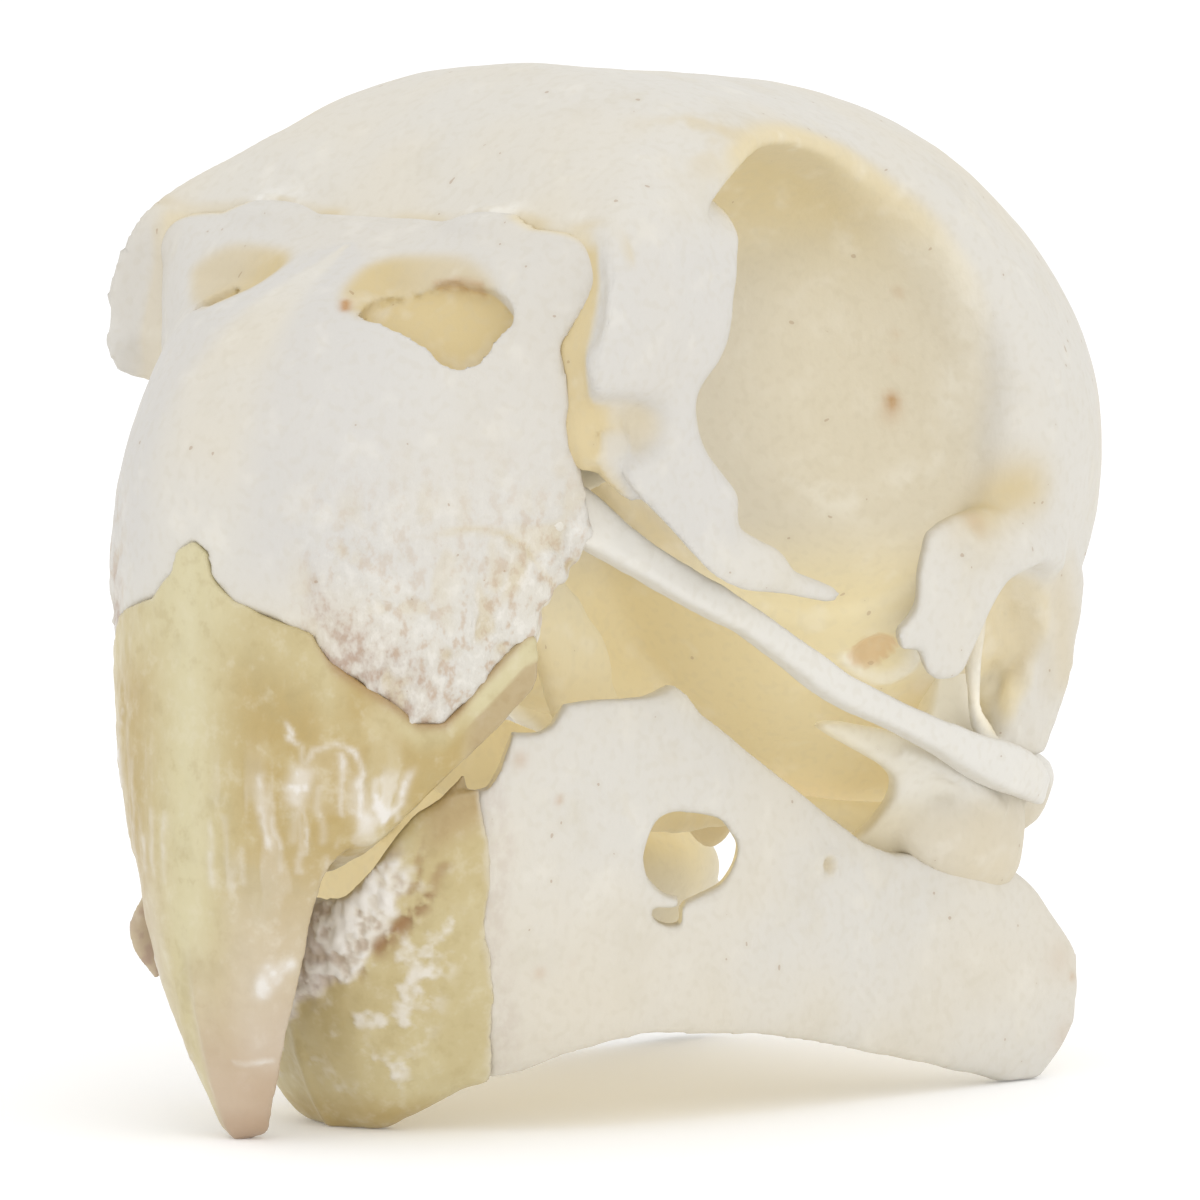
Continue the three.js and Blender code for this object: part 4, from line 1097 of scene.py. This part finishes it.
class SKULL_OT_lower_jaw(bpy.types.Operator):
    """Both sides of the lower jaw with their windows."""

    bl_idname = "skull.lower_jaw"
    bl_label = "Lower jaw"

    def execute(self, context):
        sizes = context.scene.skull_sizes
        block = Block((-7.8, -5.6, -0.5), (7.8, 19.4, 11.6), sizes.jaw_cell / MM)
        whole, ahead = jaw_and_horn_line(block)
        window = block.cut(JAW_WINDOW, 6.25 - np.abs(block.x), 0.95) + np.where(block.x < 0, 0.6, 0)
        bone = join(whole, block.ball(*JAW_PROCESS), 0.9)
        bone = keep(bone, -np.maximum(window, 4 - np.abs(block.x)), 0.15)
        bone = keep(bone + 0.15 * step(ahead, 0.05, -0.1), -(ahead + 0.8), 0.3)
        bone = keep(bone, np.where(block.x < 0, 0.35 * step(block.y, 6, 9), 0) - block.z, 0.1)
        points, quads = block.surface(bone)
        points = relaxed(points, quads)
        x, y, z = np.abs(points[:, 0]), points[:, 1], points[:, 2]
        from_horn = y - np.interp(z, LOWER_HORN[:, 0], LOWER_HORN[:, 1])
        grain = noise(points * [1, 1, 0.22], 0.6, 43) * step(y, 2.5, -0.5)
        hole = np.linalg.norm(np.stack([x, y, z], -1) - JAW_PORE, axis=1)
        relief = (rough(points, 1.8, 14) * 0.04 + grain * 0.05 + np.exp(-((hole - 0.3) / 0.12) ** 2) * 0.06
                  - step(hole, 0.25, 0.05) * 0.15)
        points = points + facing(points, quads) * relief[:, None]
        rose = step(np.abs(from_horn - 0.15 + 0.2 * noise(points, 0.9, 44)), 0.5, 0.05) * step(z, 1, 2) * 0.25
        # Painted glow on the inner faces of the jaw, strongest towards the chin.
        inward = step(-facing(points, quads)[:, 0] * np.sign(points[:, 0]), 0.2, 0.7)
        inward = inward * step(z, 1.5, 4) * (2.5 - 1.9 * step(y, 6, 9))
        make_piece("lower_jaw_bone", points, quads, material_named("jaw_bone", bone_paint),
                   ("jaw_ramus_left", "jaw_ramus_right"),
                   {"rose": rose, "ochre_and_shade": step(hole, 0.34, 0.1) * 0.5, "stain": spots(points, JAW_SPOTS),
                    "painted_glow": inward})
        return {"FINISHED"}


def scratches(across, height, table):
    """Strongest of soft straight strokes; a row gives both ends in millimetres, then width and strength."""
    share = np.zeros(len(height))
    for row in table:
        start = row[:2]
        edge = row[2:4] - start
        part = np.clip(((across - start[0]) * edge[0] + (height - start[1]) * edge[1]) / (edge @ edge), 0, 1)
        gap = np.hypot(across - start[0] - part * edge[0], height - start[1] - part * edge[1])
        share = np.maximum(share, row[5] * np.exp(-(gap / row[4]) ** 2))
    return share


# Millimetres round the horn for a degree
HORN_TURN = 0.095
# White cracks and flakes in the upper horn: angle and height of both ends, width and strength
HORN_FLAKES = np.array([
    [31, 10.5, 32.5, 10.25, 0.08, 0.5], [32.5, 10.25, 31, 10.1, 0.08, 0.5], [31, 10.1, 33.5, 10, 0.08, 0.5],
    [34.5, 9.95, 34, 7.3, 0.07, 0.45], [35, 9.5, 37.3, 9.9, 0.08, 0.5], [37.3, 9.9, 42.6, 10, 0.08, 0.5],
    [42.6, 10, 46.7, 9.8, 0.08, 0.5], [46.7, 9.8, 49, 9.2, 0.09, 0.5], [49, 9.2, 47.3, 8.8, 0.09, 0.5],
    [43.5, 9.75, 43.5, 8.35, 0.08, 0.5], [34.2, 9.25, 32.2, 8.6, 0.24, 0.95], [32, 8.6, 31, 7.6, 0.13, 0.35],
    [32.5, 8.4, 33, 6.9, 0.1, 0.4], [27, 8.2, 27.5, 7, 0.09, 0.35], [52.5, 9.1, 51.5, 8.55, 0.12, 0.75],
    [51.5, 8.55, 54, 8.15, 0.14, 0.75], [54, 8.15, 58, 8.55, 0.14, 0.65], [58, 8.55, 60, 9.2, 0.16, 0.75],
    [8, 8, 9, 6.5, 0.1, 0.3], [13, 8.1, 14.5, 6.5, 0.1, 0.3], [18, 7.4, 18.5, 6.6, 0.09, 0.25],
    [20, 3.9, 24, 4.35, 0.22, 0.6], [24, 4.35, 28, 4.5, 0.16, 0.5], [9, 2, 19, 2.05, 0.07, 0.35],
    [48, 8.9, 49, 8, 0.25, 0.6], [24, 9.2, 24.5, 7.6, 0.12, 0.35], [38, 8.9, 38.5, 7.6, 0.1, 0.35],
]) * [HORN_TURN, 1, HORN_TURN, 1, 1, 1]
# Brown crack under the crust of the lower horn: half width and height of both ends, width and strength
CHIN_CRACK = np.array([
    [2.85, 4.75, 3.5, 5.4, 0.2, 1], [3.5, 5.4, 4.1, 6.05, 0.16, 0.9], [4.1, 6.05, 4.5, 6.9, 0.1, 0.5],
])
# Loose flake on the edge of the right side: x, y, z, half breadth, half thickness
CHIP = np.array([
    [-2.6, -4.95, 6.7, 0.25, 0.13], [-2.85, -5.1, 5.6, 0.32, 0.13], [-3.1, -5.2, 4.9, 0.34, 0.13],
    [-3, -5.1, 4.3, 0.25, 0.12], [-2.8, -4.95, 3.8, 0.12, 0.08],
])


class SKULL_OT_horn(bpy.types.Operator):
    """Clear horn over the hook of the upper bill and over the chin."""

    bl_idname = "skull.horn"
    bl_label = "Horn"

    def execute(self, context):
        sizes = context.scene.skull_sizes
        self.upper(sizes)
        self.lower(sizes)
        return {"FINISHED"}

    def upper(self, sizes):
        """Horn of the upper bill, thin over the bone, with cracks, a loose flake and a ridge down its tip."""
        block = Block((-7.4, -7.6, -0.5), (7.4, -0.3, 15.6), sizes.horn_cell / MM)
        whole = block.solid(bill_surface(), 1.2)
        horn = keep(whole - sizes.horn_step / MM, horn_height(block), 0.1)
        horn = join(horn, block.solid(blade_surface(CHIP, np.array([0.707, -0.707, 0]))), 0.1)
        points, quads = block.surface(keep(horn, -block.z, 0.4))
        points = relaxed(points, quads, 1)
        angle, over = round_bill(points)
        x, z = points[:, 0], points[:, 2]
        shake = np.stack([noise(points, 0.5, 31 + k) for k in range(2)], -1) * 0.09
        strokes = scratches(angle * HORN_TURN + shake[:, 0], z + shake[:, 1], HORN_FLAKES)
        drawn = points * [1, 1, 0.16]
        split = step(angle, 5, 16) * step(angle, 62, 54) * step(z, 3, 5) * step(z, 10.5, 8.5)
        veil = step(rough(drawn, 0.5, 33), 0, 0.6) * split * 0.28
        plate = step(np.abs(angle - 53 + 20 * shake[:, 0]), 7.5, 5) * step(np.abs(z - 8.7), 0.9, 0.45)
        plate = plate * step(rough(points * [1, 1, 0.4], 0.35, 34), -0.2, 0.6) * 0.5
        sheet = step(np.abs(angle - 42), 7.5, 6) * step(np.abs(z - 9.1), 0.9, 0.7) * 0.08
        crumbs = step(rough(points, 0.3, 38, 2), 0.1, 0.7)
        haze = step(z, 8, 5) * step(z, 1.2, 2.6) * step(angle, 6, 18) * 0.3
        chalk = np.clip(strokes * (0.7 + 0.6 * crumbs) + np.max([veil, plate, sheet, haze], 0), 0, 1)
        chip = spread(points, CHIP[:, :3] * [-1, 1, 1], 0.45) * (x < -1) * step(z, 6, 5.4)
        tip = step(z, 6.2, 0.6) * step(x, -0.5, 0.1) + 0.6 * step(z, 4, 1.2) * step(angle, 20, 30)
        edge = np.exp(-(over / 0.18) ** 2) * step(angle, 34, 44) * (0.5 + 0.4 * noise(points, 1.1, 36))
        strip = step(angle, 72, 78)
        rims = strip * step(np.abs(over + 0.45), 0.25, 0.4) * 0.4
        ridge = np.exp(-(x / 0.16) ** 2) * step(z, 5.5, 3.5)
        relief = rough(points, 0.9, 31) * 0.025 + (chalk - haze) * 0.06
        relief = relief + noise(drawn, 0.4, 37) * 0.03 * step(angle, 18, 32)
        relief = relief + ridge * 0.07 + rough(points, 0.35, 39, 2) * 0.012
        points = points + facing(points, quads) * relief[:, None]
        amber = step(angle, -2, 26) * (1 - 0.75 * strip)
        amber = amber * (1 - 0.5 * step(angle, 50, 60) * step(over, -0.9, -0.3))
        amber = amber * (1 - 0.55 * step(angle, 50, 38) * step(over, -2.4, -0.6))
        stain = np.max([edge * 0.8, rims, chip * (0.4 + 0.6 * crumbs), 0.25 * step(z, 1, 0.3)], 0)
        make_piece("upper_bill_horn", points, quads, material_named("clear_horn", horn_paint),
                   ("upper_bill_sheath",),
                   {"tip": tip, "chalk": chalk, "amber": amber, "stain": np.clip(stain, 0, 1)})

    def lower(self, sizes):
        """Horn of the lower bill with its chalky crust, the brown crevice under that and loose grains."""
        block = Block((-6.4, -5.4, -0.4), (6.4, 1.6, 11.4), sizes.horn_cell / MM)
        whole, ahead = jaw_and_horn_line(block)
        points, quads = block.surface(keep(keep(whole - 0.03, ahead, 0.12), -block.z, 0.08))
        points = relaxed(points, quads, 1)
        x, y, z = np.abs(points[:, 0]), points[:, 1], points[:, 2]
        below = np.interp(x, [0, 2.3, 4.1, 5, 5.6], [5.6, 6, 7.95, 8.8, 10]) - z
        torn = 0.4 * rough(points, 1.1, 53) + 0.2 * rough(points, 0.35, 56, 2)
        crumbs = rough(points, 0.3, 54, 3)
        reach = np.interp(x, [0, 1.3, 2.3, 3.1, 3.7, 4.2], [2.5, 2.3, 1.75, 1.65, 1.3, 0.7])
        under = below + 0.6 * torn - reach
        crust = step(under, 0.2, -0.2) * step(x + torn, 4, 3.2) * step(y, -1.7, -2.3)
        crust = crust * step(below + 0.4 * torn, -0.1, 0.2)
        crevice = step(np.abs(under - 0.12), 0.36, 0.08) * step(x, 2.1, 2.6) * step(x, 4.5, 4)
        crevice = crevice * step(torn + crumbs, -0.4, 0.3)
        crack = scratches(x + 0.3 * torn, z + 0.3 * torn, CHIN_CRACK) * step(crumbs, -0.7, 0.2)
        crevice = np.maximum(crevice * 0.5, crack)
        crust = crust * (1 - 0.8 * crack)
        grains = step(rough(points, 0.42, 57, 4), -0.1, 0.9) * step(rough(points, 1.6, 51), -0.4, 0.4)
        grains = grains * step(z, 0.5, 1.3) * step(y, -1.3, -1.9) * step(under, 0.1, 0.5) * 0.7
        chalk = np.maximum(crust * (0.9 + 0.5 * crumbs), grains)
        fibres = 1 - 2 * np.abs(noise(points * [1, 1, 0.5] + 0.3 * torn[:, None], 0.22, 52))
        relief = np.maximum(crust, grains * 0.4) * (0.7 + 0.35 * fibres + 0.7 * crumbs)
        relief = relief * sizes.flake_depth / MM
        relief = relief - crevice * 0.12 + rough(points, 0.8, 58) * 0.03
        points = points + facing(points, quads) * relief[:, None]
        rim = step(below, 1.4, 0.6) * step(x, 3.9, 4.6) * 0.3
        fade = step(read_at(block, ahead, points), -0.22 - 0.2 * torn, 0) * 0.6
        # The crust's pits are painted lilac-brown as shade, most of all in the middle of the chin.
        make_piece("lower_jaw_horn", points, quads, material_named("clear_horn", horn_paint),
                   ("lower_bill_sheath",),
                   {"chalk": chalk, "stain": np.clip(np.maximum(crevice * 0.8, rim), 0, 1),
                    "rose": crust * step(0.7 * step(x, 2.4, 1.2) - crumbs, 0.1, 0.9) * 0.8, "fade": fade,
                    "amber": 0.42 + 0.15 * step(z, 2, 5) + 0.5 * step(z, 1.2, 0.3)})


# Small opening in the side of the jaw, and brown stains on it as x, y, z, reach and strength
JAW_PORE = np.array([6.5, 9.2, 6.16])
JAW_SPOTS = np.array([
    [5.46, -0.58, 9.43, 0.2, 0.35], [5.74, 0.52, 8.38, 0.12, 0.5], [6.6, 17.6, 3.1, 0.5, 0.15],
    [5.1, 0.4, 4.1, 0.16, 0.4], [4.7, 0.9, 2.4, 0.13, 0.7], [5.4, 1.2, 4.3, 0.14, 0.3],
    [6.7, 18.1, 2.6, 0.12, 0.6], [6.6, 17.9, 1, 0.5, 0.2],
])

THIN_BONES = {
    "jugal_bar": (((JUGAL, LEFT, 0.4),), ((5.6, -2, 6.6), (9.2, 17.4, 17.6))),
    "quadrate": (((QUADRATE_HEAD, LEFT, 0.85), (QUADRATE_RIDGE, LEFT, 1)), ((4, 9, 4), (9, 18.6, 13.6))),
    "palatine": (((PALATINE, LEFT, 0.8),), ((0.8, -1.8, 5.8), (4.8, 12.6, 15.6))),
    "pterygoid": (((PTERYGOID, UP, 0.9),), ((1, 10, 5.8), (6.6, 15.4, 8.2))),
}


class SKULL_OT_thin_bones(bpy.types.Operator):
    """Jugal bars, quadrates, palatines and pterygoids of both sides."""

    bl_idname = "skull.thin_bones"
    bl_label = "Thin bones"

    def execute(self, context):
        cell = context.scene.skull_sizes.small_cell / MM
        for name, (blades, (low, high)) in THIN_BONES.items():
            block = Block(low, high, cell)
            bone = None
            for rows, side, box in blades:
                blade = block.solid(blade_surface(rows, side, box), 0.6)
                bone = blade if bone is None else join(bone, blade, 0.3)
            if name == "quadrate":
                outer = 6.9 - 0.3 * np.maximum(12.2 - block.y, 0) - 0.5 * np.maximum(8.2 - block.z, 0)
                bone = join(bone, block.plate(QUADRATE, outer, 0.45, 0.3, 0.4), 0.4)
            points, quads = block.surface(bone)
            points = relaxed(points, quads)
            ridges = noise(points * [1, 1, 0.15], 0.5, 62) * 0.05 if name == "palatine" else 0
            points = points + facing(points, quads) * (rough(points, 1.2, 61) * 0.03 + ridges)[:, None]
            material = material_named("thin_bone", bone_paint)
            for side, sign in (("left", 1), ("right", -1)):
                z = points[:, 2]
                none = np.zeros(len(z))
                # Painted light: a glow on the palatines, stronger on the right one and low down; the jugal
                # bars and the quadrates' upper part painted paler to lift their shade; ochre towards the
                # bottom of the quadrates and palatines.
                traits = {
                    "painted_glow": 1 - 0.5 * sign + step(z, 7.9, 7.2) if name == "palatine" else none,
                    "pale": {"jugal_bar": none + 0.3, "quadrate": 0.35 * step(z, 7.3, 8)}.get(name, none),
                    "ochre_and_shade": {"quadrate": 0.35, "palatine": 0.5}.get(name, 0) * step(z, 8, 6.8)}
                make_piece(name + "_bone_" + side, points * [sign, 1, 1], quads[:, ::sign], material,
                           (name + "_" + side,), traits)
        return {"FINISHED"}


BONE_PIECES = ["cranium", "upper_bill_bone", "lower_jaw_bone"] + [
    name + "_bone_" + side for name in THIN_BONES for side in ("left", "right")]


class SKULL_OT_hollow_glow(bpy.types.Operator):
    """Writes on every bone how deep it lies in the skull's hollows, which its material paints as bounced
    light: an ochre colour and a glow.
    """

    bl_idname = "skull.patina"
    bl_label = "Hollow glow"

    def execute(self, context):
        reach = context.scene.skull_sizes.hollow_glow_reach / MM
        pieces = [bpy.data.objects[name] for name in BONE_PIECES]
        block = Block((-20, -18, -10), (20, 33, 37), 0.4)
        every, faces, start = [], [], 0
        for piece in pieces:
            mesh = piece.data
            points = np.empty(len(mesh.vertices) * 3, np.float32)
            mesh.vertices.foreach_get("co", points)
            quads = np.empty(len(mesh.loops), np.int32)
            mesh.loops.foreach_get("vertex_index", quads)
            every.append(points.reshape(-1, 3) / MM - HINGE)
            faces.append(quads.reshape(-1, 4) + start)
            start += len(mesh.vertices)
        none = np.zeros((0, 3), np.uint32)
        points, quads = np.concatenate(every), np.concatenate(faces)
        near = block.solid((points.astype(np.float32), none, quads.astype(np.uint32)), reach + 1.2)
        points, quads = block.surface(near - reach)
        hull = block.solid((points.astype(np.float32), none, quads.astype(np.uint32)), reach + 9)
        for piece, points in zip(pieces, every):
            depth = -read_at(block, hull, points) - reach
            held = piece.data.attributes.new("hollow", "FLOAT", "POINT")
            share = 0.5 if piece.name.startswith("palatine") else 1.0
            held.data.foreach_set("value", (share * step(depth, 0.4, 2.6)).astype(np.float32))
        return {"FINISHED"}


def read_at(block, held, points):
    """Values of a block read at points, linear between its cells."""
    place = points / block.cell - block.start
    base = np.clip(np.floor(place).astype(int), 0, block.count - 2)
    part = place - base
    total = np.zeros(len(points))
    for corner in np.ndindex(2, 2, 2):
        spot = base + corner
        total += np.prod(np.where(corner, part, 1 - part), axis=1) * held[spot[:, 0], spot[:, 1], spot[:, 2]]
    return total


# Half the floor's side in metres
FLOOR = 3.0
# What the camera and the lights aim at, in millimetres from the hinge
AIM = (0, 7.64, 12.5)
# Camera: degrees round from the front and up, metres away, and lens in millimetres
CAMERA_TURN = 45
CAMERA_LIFT = 5
CAMERA_AWAY = 0.28
CAMERA_LENS = 332.64
# Soft lights: name, place from the aim in metres, side in metres, and watts
LIGHTS = (("top_light", (0.05, -0.02, 0.35), 0.35, 0.12), ("front_light", (0.33, -0.16, 0.2), 0.3, 0.2))


class SKULL_OT_stage(bpy.types.Operator):
    """Pale floor, soft light from all round and the camera."""

    bl_idname = "skull.stage"
    bl_label = "Stage"

    def execute(self, context):
        scene = context.scene
        mesh = bpy.data.meshes.new("floor")
        corners = [(-FLOOR, -FLOOR, 0), (FLOOR, -FLOOR, 0), (FLOOR, FLOOR, 0), (-FLOOR, FLOOR, 0)]
        mesh.from_pydata(corners, [], [(0, 1, 2, 3)])
        paint = Paint("floor_paper")
        mesh.materials.append(paint.finish({
            "Base Color": (*scene.skull_colours.floor, 1), "Roughness": 0.9, "Specular IOR Level": 0.1,
            "Emission Color": (1, 1, 1, 1), "Emission Strength": 0.12}))
        floor = bpy.data.objects.new("floor", mesh)
        scene.collection.objects.link(floor)
        world = bpy.data.worlds.new("soft_box")
        world.use_nodes = True
        back = world.node_tree.nodes["Background"]
        back.inputs["Color"].default_value = (1, 1, 1, 1)
        back.inputs["Strength"].default_value = 1.0
        scene.world = world
        middle = Vector(HINGE * MM) + Vector(AIM) * MM
        for name, spot, size, power in LIGHTS:
            light = bpy.data.lights.new(name, "AREA")
            light.size = size
            light.energy = power
            lamp = bpy.data.objects.new(name, light)
            lamp.location = middle + Vector(spot)
            lamp.rotation_euler = (-Vector(spot)).to_track_quat("-Z", "Y").to_euler()
            scene.collection.objects.link(lamp)
        turn, lift = np.radians(CAMERA_TURN), np.radians(CAMERA_LIFT)
        view = bpy.data.cameras.new("camera")
        view.sensor_width = 36
        view.lens = CAMERA_LENS
        view.clip_start = 0.01
        camera = bpy.data.objects.new("camera", view)
        line = Vector((np.sin(turn) * np.cos(lift), -np.cos(turn) * np.cos(lift), np.sin(lift)))
        camera.location = middle + line * CAMERA_AWAY
        camera.rotation_euler = line.to_track_quat("Z", "Y").to_euler()
        scene.collection.objects.link(camera)
        scene.camera = camera
        scene.view_settings.view_transform = "Standard"
        return {"FINISHED"}


class SKULL_PT_panel(bpy.types.Panel):
    """Sizes, colours and the steps that build the skull."""

    bl_label = "Lovebird skull"
    bl_idname = "SKULL_PT_panel"
    bl_space_type = "VIEW_3D"
    bl_region_type = "UI"
    bl_category = "Skull"

    def draw(self, context):
        for group in (context.scene.skull_sizes, context.scene.skull_colours):
            for name in group.bl_rna.properties.keys():
                if name not in ("rna_type", "name"):
                    self.layout.prop(group, name)
        for operator in STEPS:
            self.layout.operator(operator.bl_idname)


STEPS = (SKULL_OT_stage, SKULL_OT_cranium, SKULL_OT_upper_bill, SKULL_OT_lower_jaw, SKULL_OT_horn,
         SKULL_OT_thin_bones, SKULL_OT_hollow_glow)
CLASSES = (SkullSizes, SkullColours) + STEPS + (SKULL_PT_panel,)


def register():
    for each in CLASSES:
        bpy.utils.register_class(each)
    bpy.types.Scene.skull_sizes = PointerProperty(type=SkullSizes)
    bpy.types.Scene.skull_colours = PointerProperty(type=SkullColours)


def unregister():
    del bpy.types.Scene.skull_sizes
    del bpy.types.Scene.skull_colours
    for each in reversed(CLASSES):
        bpy.utils.unregister_class(each)


def main():
    register()
    bpy.ops.skull.stage()
    bpy.ops.skull.cranium()
    bpy.ops.skull.upper_bill()
    bpy.ops.skull.lower_jaw()
    bpy.ops.skull.horn()
    bpy.ops.skull.thin_bones()
    bpy.ops.skull.patina()


if __name__ == "__main__":
    main()
